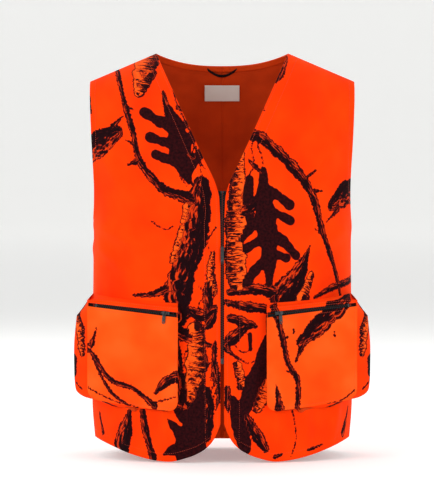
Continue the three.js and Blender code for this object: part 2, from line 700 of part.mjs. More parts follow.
const faceLine = (s) =>
  vec(mix(POCKET_INNER.x, POCKET_OUTER.x, s), -mix(POCKET_INNER.depth, POCKET_OUTER.depth, s), 0);
const faceWidth = faceLine(0).distanceTo(faceLine(1));
const faceAlong = faceLine(1).sub(faceLine(0)).normalize();
const faceOut = vec(-faceAlong.y, faceAlong.x, 0).multiplyScalar(-1);
const mouthHeight = (s) => mix(POCKET_MOUTH_INNER, POCKET_MOUTH_OUTER, s);
const bottomHeight = (s) => mix(POCKET_BOTTOM_INNER, POCKET_BOTTOM_OUTER, s ** 1.6);

const SEAM_CLEAR = 2 * GAP; // of the pocket's cloth from the flap's rounded face
function facePoint(s, z, depth = 0) {
  const p = faceLine(s).addScaledVector(faceOut, -depth);
  return vec(p.x, p.y, z);
}

// The seam of the pocket on the flap: at its inner edge, then round to near the side seam.
function seamPoint(s, z) {
  const turn = mix(turnOf(POCKET_INNER.x, z), POCKET_SIDE_SEAM_SHARE, s);
  const p = frontPoint(turn, z);
  return clearOfFlap(p, SEAM_CLEAR);
}

// Moves a point out of the flap where it lies nearer to the flap's face than the clearance.
function clearOfFlap(p, clearance) {
  const x = p.x / halfWidth(p.z);
  const y = -p.y / FRONT_DEPTH;
  const level = (Math.max(x, 0) ** SQUARENESS + Math.max(y, 0) ** SQUARENESS) ** (1 / SQUARENESS);
  const slopeX = Math.max(x, 0) ** (SQUARENESS - 1) / halfWidth(p.z);
  const slopeY = -(Math.max(y, 0) ** (SQUARENESS - 1)) / FRONT_DEPTH;
  const slope = vec(slopeX, slopeY, 0).multiplyScalar(level ** (1 - SQUARENESS));
  const short = clearance - (level - 1) / slope.length();
  return short > 0 ? p.clone().addScaledVector(slope.normalize(), short) : p;
}

function pocketFace() {
  const rows = [0, 0.06, 0.18, 0.34, 0.5, 0.66, 0.82, 0.94, 1];
  const columns = [0, 0.05, 0.15, 0.3, 0.45, 0.6, 0.75, 0.88, 0.96, 1];
  const top = -EDGE_HALF;
  const grid = (depth) =>
    rows.map((t) =>
      columns.map((s) => {
        // The lower corners are rounded, so the outer columns start higher.
        const fromEdge = Math.min(s, 1 - s) * faceWidth;
        const short = clamp(POCKET_CORNER - fromEdge, 0, POCKET_CORNER);
        const corner = POCKET_CORNER - Math.sqrt(POCKET_CORNER ** 2 - short ** 2);
        const z = mix(bottomHeight(s) + corner, mouthHeight(s) + top, t);
        const bulge = POCKET_BULGE * Math.sin(Math.PI * s) * Math.sin(Math.PI * t ** 0.6) ** 2;
        return facePoint(s, z, depth - bulge);
      }),
    );
  return sheetBetween(grid(0), grid(CLOTH));
}

// The gusset runs down the inner edge, along the bottom and up the outer edge, from the face to the flap.
function pocketGusset() {
  const border = 0.8 / faceWidth;
  const outline = [];
  const inner = mouthHeight(0);
  const outer = mouthHeight(1);
  const lift = POCKET_BAND + EDGE_HALF - CLOTH - 4 * GAP;
  const cornerShare = POCKET_CORNER / faceWidth;
  for (const t of [0, 0.1, 0.3, 0.5, 0.7, 0.9]) {
    outline.push([border, mix(inner + lift, bottomHeight(0) + POCKET_CORNER, t)]);
  }
  for (const a of [0, 30, 60, 90]) {
    const [c, s] = [Math.cos(THREE.MathUtils.degToRad(a)), Math.sin(THREE.MathUtils.degToRad(a))];
    outline.push([border + cornerShare * (1 - c), bottomHeight(0) + POCKET_CORNER * (1 - s)]);
  }
  for (const s of evenSteps(cornerShare, 1 - cornerShare, 10).slice(1, -1)) outline.push([s, null]);
  for (const a of [90, 60, 30, 0]) {
    const [c, s] = [Math.cos(THREE.MathUtils.degToRad(a)), Math.sin(THREE.MathUtils.degToRad(a))];
    outline.push([1 - border - cornerShare * (1 - c), bottomHeight(1) + POCKET_CORNER * (1 - s)]);
  }
  for (const t of [0.9, 0.7, 0.5, 0.3, 0.1, 0]) {
    outline.push([1 - border, mix(outer + lift, bottomHeight(1) + POCKET_CORNER, t)]);
  }
  const across = [0, 0.25, 0.5, 0.75, 1];
  const last = outline.length - 1;
  const grid = outline.map(([s, height], k) => {
    const z = height ?? bottomHeight(s) + 0.8;
    const near = facePoint(s, z, CLOTH + 2 * GAP);
    const topShare = clamp(1 - Math.min(k, last - k) / 2, 0, 1);
    const far = seamPoint(s, z + POCKET_ROOF_RISE * topShare);
    const depth = near.distanceTo(far);
    const isSide = s > 0.9;
    return across.map((r) => {
      const p = near.clone().lerp(far, r);
      const swell = Math.sin(Math.PI * r) * depth;
      if (isSide) p.addScaledVector(vec(0.99, 0.1, 0), swell * GUSSET_SWELL * (1 - topShare));
      if (height === null) p.z -= swell * 0.08;
      return p;
    });
  });
  return sheetOfRows(grid, FACING);
}

// A sheet whose inner face lies the given thickness behind a grid of points, on its smaller side.
function sheetOfRows(grid, thickness) {
  const rows = grid.length;
  const columns = grid[0].length;
  const normal = (j, i) => {
    const a = grid[Math.min(j + 1, rows - 1)][i].clone().sub(grid[Math.max(j - 1, 0)][i]);
    const b = grid[j][Math.min(i + 1, columns - 1)].clone().sub(grid[j][Math.max(i - 1, 0)]);
    return a.cross(b).normalize();
  };
  const inner = grid.map((row, j) => row.map((p, i) => p.clone().addScaledVector(normal(j, i), thickness)));
  const clear = (rowsOf) => rowsOf.map((row) => row.map((p) => clearOfFlap(p, SEAM_CLEAR)));
  // The outer face keeps the cloth's thickness where its inner face lies along the flap.
  const outer = grid.map((row, j) =>
    row.map((p, i) => p.clone().add(clearOfFlap(inner[j][i], SEAM_CLEAR)).sub(inner[j][i])),
  );
  return sheetBetween(clear(outer), clear(inner));
}

// A flat band above the mouth zip, which then turns back over the pocket to its seam on the flap.
function pocketRoof() {
  const grid = (depth) =>
    evenSteps(0, 1, 16).map((s) => {
      const low = mouthHeight(s) + EDGE_HALF;
      const high = low + POCKET_BAND;
      const rim = facePoint(s, high - depth, depth);
      const seat = seamPoint(s, high + POCKET_ROOF_RISE - depth);
      const middle = rim.clone().lerp(seat, 0.5);
      return [facePoint(s, low, depth), rim, middle, seat];
    });
  const clear = (rows) => rows.map((row) => row.map((p) => clearOfFlap(p, SEAM_CLEAR)));
  return sheetBetween(clear(grid(0)), clear(grid(CLOTH)));
}

function pocketZipFrame() {
  const from = facePoint(0, mouthHeight(0));
  const to = facePoint(1, mouthHeight(1));
  const toClosed = from.clone().sub(to).normalize();
  const inward = faceOut.clone().multiplyScalar(-1);
  const across = inward.clone().cross(toClosed).normalize();
  const frame = new THREE.Matrix4().makeBasis(across, inward, toClosed);
  frame.setPosition(to);
  return { frame, length: from.distanceTo(to) };
}

function pocket(side, place) {
  const { frame, length } = pocketZipFrame();
  const put = (name, geometry, paint) => add(`pocket_${name}_${side}`, place(geometry), paint);
  const inFrame = (geometry) => geometry.applyMatrix4(frame);
  const tapeMargin = 4;
  const teethStart = POCKET_ZIP_INSET;
  const teethEnd = length - POCKET_ZIP_INSET;

  put("face", pocketFace(), blaze());
  put("gusset", pocketGusset(), blaze());
  put("roof", pocketRoof(), blaze());
  const upperTape = zipTape(length - tapeMargin, POCKET_BAND - CLOTH, tapeMargin);
  const lowerTape = mirrored(zipTape(length - tapeMargin, POCKET_TAPE_WIDTH, tapeMargin));
  put("zip_tape_upper", inFrame(upperTape), zipBlack());
  put("zip_tape_lower", inFrame(lowerTape), zipBlack());
  put("zip_teeth_upper", inFrame(zipTeeth(teethStart, teethEnd, 0)), zipBlack());
  put("zip_teeth_lower", inFrame(mirrored(zipTeeth(teethStart, teethEnd, 0.5))), zipBlack());
  const stop = (at) => {
    const reach = CHAIN_INNER + CHAIN_WIDTH;
    return box([-reach, reach], [CHAIN_DROP - 0.2, TEETH_BACK + 0.2], [at, at + STOP_HEIGHT]);
  };
  put("zip_stop_inner", inFrame(stop(teethEnd + GAP)), enamel());
  put("zip_stop_outer", inFrame(stop(teethStart - GAP - STOP_HEIGHT)), enamel());

  const sliderAt = teethEnd - SLIDER_LENGTH / 2;
  const sliderFrame = frame.clone().multiply(new THREE.Matrix4().makeTranslation(0, 0, sliderAt));
  put("zip_slider", zipSlider(true).applyMatrix4(sliderFrame), enamel());
  // The pull hangs straight down from the bail, square to the zip, so it is turned from the slider's frame.
  const turn = new THREE.Matrix4().makeRotationY(Math.PI / 2);
  const hinge = new THREE.Matrix4().makeTranslation(0, PULL_AXIS_OUT, 0).multiply(turn);
  put("zip_pull", zipPull(POCKET_PULL_LENGTH).applyMatrix4(sliderFrame.clone().multiply(hinge)), enamel());
}
for (const [side, place] of sides) pocket(side, place);

export default vest;
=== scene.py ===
"""A blaze orange hunting vest with a printed branch and leaf pattern: two fronts and a back of printed polyester
tricot on one shared body shape, an open-ended front zip, two bellows pockets with zipped mouths, stitched hems,
facings, a hanger loop and a blank label. Lengths are millimetres until a mesh is made."""

import math

import bpy
import numpy as np
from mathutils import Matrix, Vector


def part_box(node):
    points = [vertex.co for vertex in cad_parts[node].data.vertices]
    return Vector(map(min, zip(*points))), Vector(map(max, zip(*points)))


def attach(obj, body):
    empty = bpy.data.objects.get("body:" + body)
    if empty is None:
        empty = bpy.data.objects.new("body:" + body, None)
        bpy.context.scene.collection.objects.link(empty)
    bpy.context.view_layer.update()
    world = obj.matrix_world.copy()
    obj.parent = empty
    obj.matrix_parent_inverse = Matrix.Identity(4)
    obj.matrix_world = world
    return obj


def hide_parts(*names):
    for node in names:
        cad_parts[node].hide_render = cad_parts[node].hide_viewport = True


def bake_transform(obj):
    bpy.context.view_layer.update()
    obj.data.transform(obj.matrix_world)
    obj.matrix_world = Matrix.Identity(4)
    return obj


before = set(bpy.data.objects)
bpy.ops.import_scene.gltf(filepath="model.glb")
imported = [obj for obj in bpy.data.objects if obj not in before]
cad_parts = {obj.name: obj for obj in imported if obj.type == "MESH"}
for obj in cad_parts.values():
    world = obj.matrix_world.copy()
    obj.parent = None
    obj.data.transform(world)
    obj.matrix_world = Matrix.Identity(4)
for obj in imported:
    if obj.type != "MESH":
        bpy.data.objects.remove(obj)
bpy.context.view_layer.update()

MM = 0.001

# ---- Sizes, in millimetres ---------------------------------------------------------------------------

NECK_HEIGHT, NECK_HALF = 700, 115
SHOULDER_HEIGHT, SHOULDER_HALF = 651, 230
BACK_NECK_DROP = 20
BACK_HEM_RISE = 14  # in the middle of the back
ARMPIT_HEIGHT, ARMPIT_HALF = 410, 225
FRONT_DEPTH, BACK_DEPTH = 140, 130
SQUARENESS = 2.4  # exponent of the plan's superellipse
FRONT_ROLL, BACK_ROLL = 200, 260  # height over which each side curves up to the shoulder seam
V_BOTTOM = 462
EDGE_HALF = 3.2  # half of the gap between the fronts along the zip

CLOTH = 1.2  # printed tricot with its turned edge
FACING = 1.0
TAPE = 0.6
GAP = 0.3
FRONT_FACING_WIDTH = 18
ZIP_FACING_BOTTOM = 82
FACING_ABOVE_ZIP = 14  # where the neck facing starts, clear of the zip's tape
BACK_NECK_FACING_WIDTH = 9
ARMHOLE_FACING_WIDTH = 14
HEM_WIDTH = 15

ZIP_BOTTOM, ZIP_TAPE_WIDTH = 168, 12
TEETH_BOTTOM, TEETH_TOP, TOOTH_PITCH = 177.3, 459.1, 4.0
CHAIN_FRONT, CHAIN_BACK = 0.4, 3.0  # depth of the teeth below the cloth's face
TOOTH_MIDDLE = 1.25  # from the middle of the zip to the middle of a tooth
TOOTH_INSET = 1.2  # from the end of the chain to the middle of its first tooth
TAPE_EDGE = 0.9  # from the middle of the zip to the tape's corded edge, which the teeth grip

POCKET_INNER = (76, -150)  # plan of the pocket face's edge near the zip
POCKET_OUTER = (232, -95)  # and of its edge near the side seam
POCKET_MOUTH = (253, 267)
POCKET_BOTTOM = (88, 106)
POCKET_BAND, POCKET_ROOF_RISE, POCKET_CORNER = 8, 7, 16
POCKET_BULGE = 9
POCKET_SEAM_SHARE = 0.93  # how far round the front its outer seam lies, from the middle to the side seam
BAND_SHARE = 0.4  # of the roof's rows, those on the band above the mouth
POCKET_TAPE_WIDTH = 9
MOUTH_EASE = 2.8  # how much wider the mouth gapes at its end near the zip
POCKET_ZIP_INSET = 18

STITCH_FROM_EDGE = 3.0  # of the topstitching, from a turned edge
STITCH_INSIDE = 1.5  # of a row of stitches, inside the edge of the facing that it holds
STITCH_LIFT, POCKET_STITCH_LIFT = 0.12, 0.15  # of the thread above the cloth

EASING = 1.35  # a panel's rows lie closer together towards its shoulder
FOLD_SCALE = 2.2  # height of every fold of the body's cloth, against its table
BROAD_RIPPLE, FINE_RIPPLE, HEM_SWING = 2.1, 0.45, 2.2  # heights
LABEL_DEPTH = 2.2  # of the label behind the cloth's inner face, clear of the folds

# (height, half width or distance across), and for the hem (distance across, height).
HALF_WIDTH = [(0, 219), (90, 227), (246, 226), (330, 225), (410, 225), (480, 235), (561, 259), (651, 275), (760, 285)]
FRONT_ARMHOLE = [(410, 225), (438, 222.5), (480, 222), (561, 226), (621, 229), (651, 230)]
BACK_ARMHOLE = [(410, 225), (438, 224), (480, 226.5), (561, 231), (621, 230), (651, 230)]
FRONT_EDGE = [(302, 3.2), (382, 3.2), (447, 5.2), (462, 7.7), (482, 14.5), (522, 34), (700, 115)]
FRONT_HEM = [(3, 66), (7, 54), (13, 41), (22, 29), (36, 18), (58, 8), (94, 0), (152, 9), (219, 32)]


# ---- Stage and camera --------------------------------------------------------------------------------


def linear(hex_colour):
    """An sRGB hex colour as linear RGBA."""
    parts = [int(hex_colour[i : i + 2], 16) / 255 for i in (1, 3, 5)]
    return tuple(c / 12.92 if c <= 0.04045 else ((c + 0.055) / 1.055) ** 2.4 for c in parts) + (1.0,)


def area_light(name, place, target, size, power):
    """A white lamp."""
    light = bpy.data.lights.new(name, "AREA")
    light.shape = "RECTANGLE"
    light.size, light.size_y = size
    light.energy = power
    lamp = bpy.data.objects.new(name, light)
    lamp.location = place
    lamp.rotation_euler = (Vector(target) - Vector(place)).to_track_quat("-Z", "Y").to_euler()
    bpy.context.collection.objects.link(lamp)


PAPER_RADIUS, PAPER_BEND, PAPER_HEIGHT = 13.0, 3.0, 9.0  # metres
CAMERA_DISTANCE, CAMERA_TILT, VIEW_WIDTH = 5.0, math.radians(2), 0.738


def paper_sweep():
    """A round sheet of pale paper: a floor that bends up into a wall, far enough out to stand behind the camera."""
    bend = [(PAPER_RADIUS + PAPER_BEND * math.sin(a), PAPER_BEND * (1 - math.cos(a)))
            for a in np.linspace(0, math.pi / 2, 9)]
    profile = [(1.5 * k, 0.0) for k in range(1, 9)] + bend + [(PAPER_RADIUS + PAPER_BEND, PAPER_HEIGHT)]
    sides = 72
    points = [(0, 0, -0.002)]
    for radius, height in profile:
        points += [(radius * math.cos(a), radius * math.sin(a), height - 0.002)
                   for a in np.linspace(0, 2 * math.pi, sides + 1)[:-1]]
    faces = [(0, k + 1, (k + 1) % sides + 1) for k in range(sides)]
    for ring in range(len(profile) - 1):
        low, high = 1 + ring * sides, 1 + (ring + 1) * sides
        faces += [(low + k, high + k, high + (k + 1) % sides, low + (k + 1) % sides) for k in range(sides)]
    mesh = bpy.data.meshes.new("studio_paper")
    mesh.from_pydata(points, [], faces)
    mesh.shade_smooth()
    sweep = bpy.data.objects.new("studio_paper", mesh)
    bpy.context.collection.objects.link(sweep)
    paper = bpy.data.materials.new("backdrop_paper")
    paper.use_nodes = True
    shader = paper.node_tree.nodes["Principled BSDF"]
    shader.inputs["Base Color"].default_value = linear("#F4F4F2")
    shader.inputs["Roughness"].default_value = 0.9
    # Lit through from behind a little, so that it stays pale far from the lamps.
    shader.inputs["Emission Color"].default_value = linear("#FFFFFF")
    shader.inputs["Emission Strength"].default_value = 0.26
    mesh.materials.append(paper)


def studio():
    """Pale paper all round, soft light from both sides and above, and the camera."""
    paper_sweep()
    middle = (0, 0, 0.38)
    area_light("key_left", (-2.2, -2.2, 1.9), middle, (1.5, 1.5), 29)
    area_light("key_right", (2.2, -2.3, 1.3), middle, (1.8, 1.8), 16)
    area_light("top", (0, -0.2, 2.6), middle, (2.4, 2.0), 15)
    area_light("behind_left", (-1.9, 2.2, 1.7), middle, (1.8, 1.8), 26)
    area_light("behind_right", (2.0, 2.0, 1.4), middle, (1.8, 1.8), 16)
    world = bpy.data.worlds.new("studio_air")
    world.use_nodes = True
    world.node_tree.nodes["Background"].inputs["Color"].default_value = linear("#FBFBFC")
    world.node_tree.nodes["Background"].inputs["Strength"].default_value = 0.47
    bpy.context.scene.world = world
    bpy.context.scene.view_settings.view_transform = "Standard"

    camera = bpy.data.cameras.new("camera")
    camera.sensor_fit = "HORIZONTAL"
    camera.sensor_width = 36
    camera.lens = camera.sensor_width * CAMERA_DISTANCE / VIEW_WIDTH
    target = Vector((-0.009, -0.14, 0.3645))
    seat = bpy.data.objects.new("camera", camera)
    seat.location = target + CAMERA_DISTANCE * Vector((0, -math.cos(CAMERA_TILT), math.sin(CAMERA_TILT)))
    seat.rotation_euler = (target - seat.location).to_track_quat("-Z", "Y").to_euler()
    bpy.context.collection.objects.link(seat)
    bpy.context.scene.camera = seat


# ---- The body shape ----------------------------------------------------------------------------------


def smooth(pairs, at):
    """A smooth curve through (at, value) pairs, read at many places."""
    xs, ys = np.array(pairs, float).T
    last = len(xs) - 1
    at = np.clip(np.asarray(at, float), xs[0], xs[-1])
    k = np.clip(np.searchsorted(xs, at, side="right") - 1, 0, last - 1)
    before, after = np.maximum(np.arange(last + 1) - 1, 0), np.minimum(np.arange(last + 1) + 1, last)
    slopes = (ys[after] - ys[before]) / (xs[after] - xs[before])
    width = xs[k + 1] - xs[k]
    t = (at - xs[k]) / width
    rest = 1 - t
    return (
        ys[k] * rest * rest * (1 + 2 * t)
        + ys[k + 1] * t * t * (3 - 2 * t)
        + slopes[k] * width * t * rest * rest
        - slopes[k + 1] * width * t * t * rest
    )


def mix(a, b, t):
    return a + (b - a) * t


def fade(edge0, edge1, x):
    """0 at edge0, 1 at edge1, smooth between."""
    t = np.clip((x - edge0) / (edge1 - edge0), 0, 1)
    return t * t * (3 - 2 * t)


SHOULDER_SLOPE = (NECK_HEIGHT - SHOULDER_HEIGHT) / (SHOULDER_HALF - NECK_HALF)


def shoulder_line(x):
    return NECK_HEIGHT - SHOULDER_SLOPE * (x - NECK_HALF)


def roll_top(x):
    across = NECK_HEIGHT + SHOULDER_SLOPE * (NECK_HALF**2 - x**2) / (2 * NECK_HALF)
    return np.where(x > NECK_HALF, shoulder_line(x), across)


def half_width(z):
    return smooth(HALF_WIDTH, z)


def body_point(turn, z, depth, roll):
    """turn 0 is the middle of the front or back, 1 is the side seam. x is the distance from the middle."""
    angle = np.clip(turn, -1, 1) * math.pi / 2
    power = 2 / SQUARENESS
    x = half_width(z) * np.sign(angle) * np.abs(np.sin(angle)) ** power
    below = np.clip((roll_top(np.abs(x)) - z) / roll, 0, 1)
    curve = np.sqrt(np.maximum(1 - (1 - below) ** 2, 0))
    y = depth * np.abs(np.cos(angle)) ** power * curve
    return np.stack(np.broadcast_arrays(x, y, z), axis=-1)


def turn_of(x, z):
    share = np.clip(x / half_width(z), 0, 1)
    return np.arcsin(share ** (SQUARENESS / 2)) * 2 / math.pi


def front_point(turn, z):
    return body_point(turn, z, -FRONT_DEPTH, FRONT_ROLL)


def back_point(turn, z):
    return body_point(turn, z, BACK_DEPTH, BACK_ROLL)


def hem_line(x):
    return smooth(FRONT_HEM, x)


def back_hem_line(x):
    return mix(BACK_HEM_RISE, hem_line(half_width(0.0)), (x / half_width(0.0)) ** 2)


def back_top_line(x):
    low = NECK_HEIGHT - BACK_NECK_DROP * (1 - np.clip(x / NECK_HALF, 0, 1) ** 2.5)
    return np.where(x > NECK_HALF, shoulder_line(x), low)


def inner_turn(z):
    return turn_of(smooth(FRONT_EDGE, z), z)


def outer_turn(z, armhole):
    return np.where(z <= ARMPIT_HEIGHT, 1.0, turn_of(smooth(armhole, z), z))


def meeting(turn_at, point, line, guess):
    """The height at which a column of a panel meets a line given as a height at each x."""
    z = guess
    for _ in range(30):
        z = mix(z, line(np.abs(point(turn_at(z), z)[..., 0])), 0.7)
    return z


def front_surface(u, v):
    """The front, from its edge at u 0 to the side at u 1 and from the hem at v 0 to the shoulder at v 1."""

    def turn_at(z):
        return mix(inner_turn(z), outer_turn(z, FRONT_ARMHOLE), u)

    bottom = meeting(turn_at, front_point, hem_line, np.full(u.shape, 200.0))
    top = meeting(turn_at, front_point, shoulder_line, np.full(u.shape, 700.0))
    z = top - (top - bottom) * (1 - v) ** EASING
    return front_point(turn_at(z), z)


def back_surface(u, v):
    """The half of the back, from its middle at u 0 to the side at u 1."""

    def turn_at(z):
        return u * outer_turn(z, BACK_ARMHOLE)

    bottom = meeting(turn_at, back_point, back_hem_line, np.full(u.shape, 200.0))
    top = meeting(turn_at, back_point, back_top_line, np.full(u.shape, 700.0))
    z = top - (top - bottom) * (1 - v) ** EASING
    return back_point(turn_at(z), z)


# ---- How the cloth lies ------------------------------------------------------------------------------


def wave(a, b, seed):
    """A soft, even-handed ripple over two coordinates in millimetres, from -1 to 1."""
    rng = np.random.default_rng(seed)
    total = 0
    for _ in range(6):
        angle, phase = rng.uniform(0, 2 * math.pi, 2)
        length = rng.uniform(0.7, 1.6)
        total = total + np.sin((a * math.cos(angle) + b * math.sin(angle)) * length + phase)
    return total / 3.2


def ridge(x, z, start, end, width, height):
    """A fold of cloth along a line from start to end, highest at its start."""
    ax, az = start
    dx, dz = end[0] - ax, end[1] - az
    length = math.hypot(dx, dz)
    t = ((x - ax) * dx + (z - az) * dz) / length**2
    off = ((x - ax) * dz - (z - az) * dx) / length
    along = fade(-0.15, 0.15, t) * (1 - fade(0.45, 1.1, t))
    return height * along * np.exp(-((off / width) ** 2))


# Folds on the wearer's left front, right front and back, as (start, end, width, height), with each place given by
# its distance across from the middle and its height.
FOLDS_LEFT = [
    ((214, 400), (120, 330), 13, 3.0),
    ((218, 440), (150, 420), 11, 2.2),
    ((205, 560), (150, 470), 16, 2.0),
    ((150, 640), (170, 520), 15, 2.2),
    ((90, 90), (96, 2), 9, 2.4),
    ((140, 96), (148, 8), 10, 2.6),
    ((196, 110), (188, 20), 10, 3.0),
    ((52, 300), (30, 210), 9, 1.6),
    ((60, 170), (40, 60), 9, 1.8),
]
FOLDS_RIGHT = [
    ((214, 405), (110, 350), 14, 3.2),
    ((216, 372), (140, 300), 10, 2.4),
    ((212, 540), (160, 450), 15, 2.2),
    ((135, 650), (160, 530), 15, 2.0),
    ((100, 92), (92, 4), 9, 2.2),
    ((158, 100), (166, 12), 11, 3.0),
    ((62, 250), (36, 330), 9, 1.8),
    ((56, 150), (48, 50), 8, 1.8),
]
FOLDS_BACK = [
    ((30, 600), (40, 430), 16, 2.2),
    ((120, 660), (110, 500), 18, 2.6),
    ((212, 420), (110, 330), 15, 3.4),
    ((214, 380), (130, 260), 12, 2.6),
    ((60, 20), (52, 170), 14, 2.8),
    ((140, 20), (146, 190), 15, 3.0),
    ((196, 30), (180, 150), 12, 2.6),
]


def lie(p, side, is_back, from_edge):
    """How far the cloth stands off the body shape at each point: folds and soft ripples, held flat at the edge
    near the zip, where the tape is sewn on."""
    x, z = np.abs(p[..., 0]), p[..., 2]
    across = x if side == "left" else -x
    folds = FOLDS_BACK if is_back else (FOLDS_LEFT if side == "left" else FOLDS_RIGHT)
    # The back's two halves share a table, so one is moved a little.
    shift = 7 if (is_back and side == "right") else 0
    out = sum(ridge(x, z, (a[0] + shift, a[1] - 2 * shift), b, w, FOLD_SCALE * h) for a, b, w, h in folds)
    out = out + BROAD_RIPPLE * wave(across / 34, z / 58, 11 if is_back else 3)
    out = out + FINE_RIPPLE * wave(across / 11, z / 17, 5)
    return out * fade(2, 26, from_edge)


def puckers(along, from_edge, reach):
    """Small gathers beside a row of stitches."""
    ripple = np.sin(along / 2.7) + 0.6 * np.sin(along / 1.63 + 1.3) + 0.8 * np.sin(along / 6.1 + 0.4)
    return 0.16 * ripple * np.exp(-((from_edge / reach) ** 2))


def groove(from_line):
    """The dip that a row of stitches pulls into the cloth."""
    return -0.35 * np.exp(-((from_line / 0.9) ** 2))


def normals_of(grid, outward):
    """Unit normals of a grid of points, turned to the side that outward points to on average."""
    across = np.gradient(grid, axis=1)
    up = np.gradient(grid, axis=0)
    n = np.cross(across, up)
    n /= np.maximum(np.linalg.norm(n, axis=-1, keepdims=True), 1e-9)
    if np.mean(np.sum(n * outward, axis=-1)) < 0:
        n = -n
    return n


def outward_of(grid):
    """Away from the wearer's middle."""
    return grid * np.array([1.0, 1.0, 0.0]) + np.array([0, 0, 1e-3])


# ---- Node trees --------------------------------------------------------------------------------------


def add_node(tree, kind, settings=None, inputs=None):
    """Adds a node. An input is a value, or another node's output socket, which is linked. The setting "stops" is a
    colour ramp's (place, hex colour) pairs."""
    made = tree.nodes.new(kind)
    for key, value in (settings or {}).items():
        if key == "stops":
            elements = made.color_ramp.elements
            while len(elements) < len(value):
                elements.new(1.0)
            for element, (place, colour) in zip(elements, value):
                element.position, element.color = place, linear(colour)
        else:
            setattr(made, key, value)
    for key, value in (inputs or {}).items():
        socket = made.inputs[key]
        if isinstance(value, bpy.types.NodeSocket):
            tree.links.new(value, socket)
        else:
            socket.default_value = value
    return made


SMOOTH = {"interpolation_type": "SMOOTHSTEP"}
COLOURS = {"data_type": "RGBA"}
NUMBERS = {"data_type": "FLOAT"}
TIMES, PLUS, MINUS = {"operation": "MULTIPLY"}, {"operation": "ADD"}, {"operation": "SUBTRACT"}
MIX_A, MIX_B, MIX_OUT = 6, 7, 2  # a Mix node's colour sockets, which share their names with its other kinds'


# ---- Materials ---------------------------------------------------------------------------------------


def material(name, colour, roughness, **others):
    """A new material with its node tree and its shader. others are the shader's inputs, with _ for a space."""
    made = bpy.data.materials.new(name)
    made.use_nodes = True
    shader = made.node_tree.nodes["Principled BSDF"]
    shader.inputs["Base Color"].default_value = linear(colour)
    shader.inputs["Roughness"].default_value = roughness
    for key, value in others.items():
        shader.inputs[key.replace("_", " ")].default_value = value
    return made, made.node_tree, shader


def knit_bump(tree, shader, period, depth):
    """Fine crossing ribs that follow the cloth, with a period in millimetres."""
    place = add_node(tree, "ShaderNodeUVMap", {"uv_map": "cloth"}).outputs[0]
    scale = math.pi / (10 * period * MM)
    ribs = add_node(tree, "ShaderNodeTexWave", {"bands_direction": "X"}, {"Vector": place, "Scale": scale})
    picks = add_node(tree, "ShaderNodeTexWave", {"bands_direction": "Y"}, {"Vector": place, "Scale": scale * 1.4})
    both = add_node(tree, "ShaderNodeMath", TIMES, {0: ribs.outputs["Fac"], 1: picks.outputs["Fac"]})
    bump = add_node(tree, "ShaderNodeBump", None, {"Height": both.outputs[0], "Distance": depth * MM, "Strength": 0.7})
    tree.links.new(bump.outputs[0], shader.inputs["Normal"])
    return both.outputs[0]


def bark_texture(tree, pale, along, off):
    """Rings across a limb every 2 to 4 mm where it is pale, and long streaks down it where it is dark, brighter on
    the side towards the light."""
    ring_along = add_node(tree, "ShaderNodeMath", TIMES, {0: along, 1: 0.42}).outputs[0]
    ring_off = add_node(tree, "ShaderNodeMath", TIMES, {0: off, 1: 1.1}).outputs[0]
    ring_place = add_node(tree, "ShaderNodeCombineXYZ", None, {"X": ring_along, "Y": ring_off}).outputs[0]
    rings = add_node(tree, "ShaderNodeTexNoise", None,
                     {"Vector": ring_place, "Scale": 1.0, "Detail": 4.0, "Roughness": 0.62})
    streak_along = add_node(tree, "ShaderNodeMath", TIMES, {0: along, 1: 0.055}).outputs[0]
    streak_off = add_node(tree, "ShaderNodeMath", TIMES, {0: off, 1: 3.2}).outputs[0]
    streak_place = add_node(tree, "ShaderNodeCombineXYZ", None, {"X": streak_along, "Y": streak_off}).outputs[0]
    streaks = add_node(tree, "ShaderNodeTexNoise", None,
                       {"Vector": streak_place, "Scale": 1.0, "Detail": 5.0, "Roughness": 0.6})
    grain = add_node(tree, "ShaderNodeMix", NUMBERS,
                     {0: pale, 2: streaks.outputs["Fac"], 3: rings.outputs["Fac"]}).outputs[0]
    lit = add_node(tree, "ShaderNodeMapRange", SMOOTH,
                   {"Value": off, "From Min": 1.0, "From Max": -1.0, "To Min": -0.07, "To Max": 0.09}).outputs[0]
    return add_node(tree, "ShaderNodeMath", PLUS, {0: grain, 1: lit}).outputs[0]


def bark_tone(tree, bark, along, off):
    """The colour of bark. On dark bark only the strongest streaks show red and orange; pale bark is mostly cloth."""
    pale = add_node(tree, "ShaderNodeMapRange", SMOOTH, {"Value": bark, "From Min": 1.0, "From Max": 2.0}).outputs[0]
    threshold = add_node(tree, "ShaderNodeMapRange", SMOOTH,
                         {"Value": pale, "To Min": 0.52, "To Max": 0.45}).outputs[0]
    texture = bark_texture(tree, pale, along, off)
    over = add_node(tree, "ShaderNodeMath", MINUS, {0: texture, 1: threshold}).outputs[0]
    glow = add_node(tree, "ShaderNodeMapRange", SMOOTH, {"Value": over, "From Min": 0.0, "From Max": 0.14}).outputs[0]
    dark_bark = add_node(tree, "ShaderNodeValToRGB", {"stops": [
        (0.0, "#1C0509"), (0.35, "#420B0C"), (0.7, "#9C200E"), (1.0, "#E03C0C")]}, {"Fac": glow}).outputs["Color"]
    pale_bark = add_node(tree, "ShaderNodeValToRGB", {"stops": [
        (0.0, "#26060A"), (0.3, "#7A1A0E"), (0.5, "#E23C08"), (1.0, "#FF5A14")]}, {"Fac": glow}).outputs["Color"]
    return add_node(tree, "ShaderNodeMix", COLOURS,
                    {"Factor": pale, MIX_A: dark_bark, MIX_B: pale_bark}).outputs[MIX_OUT]


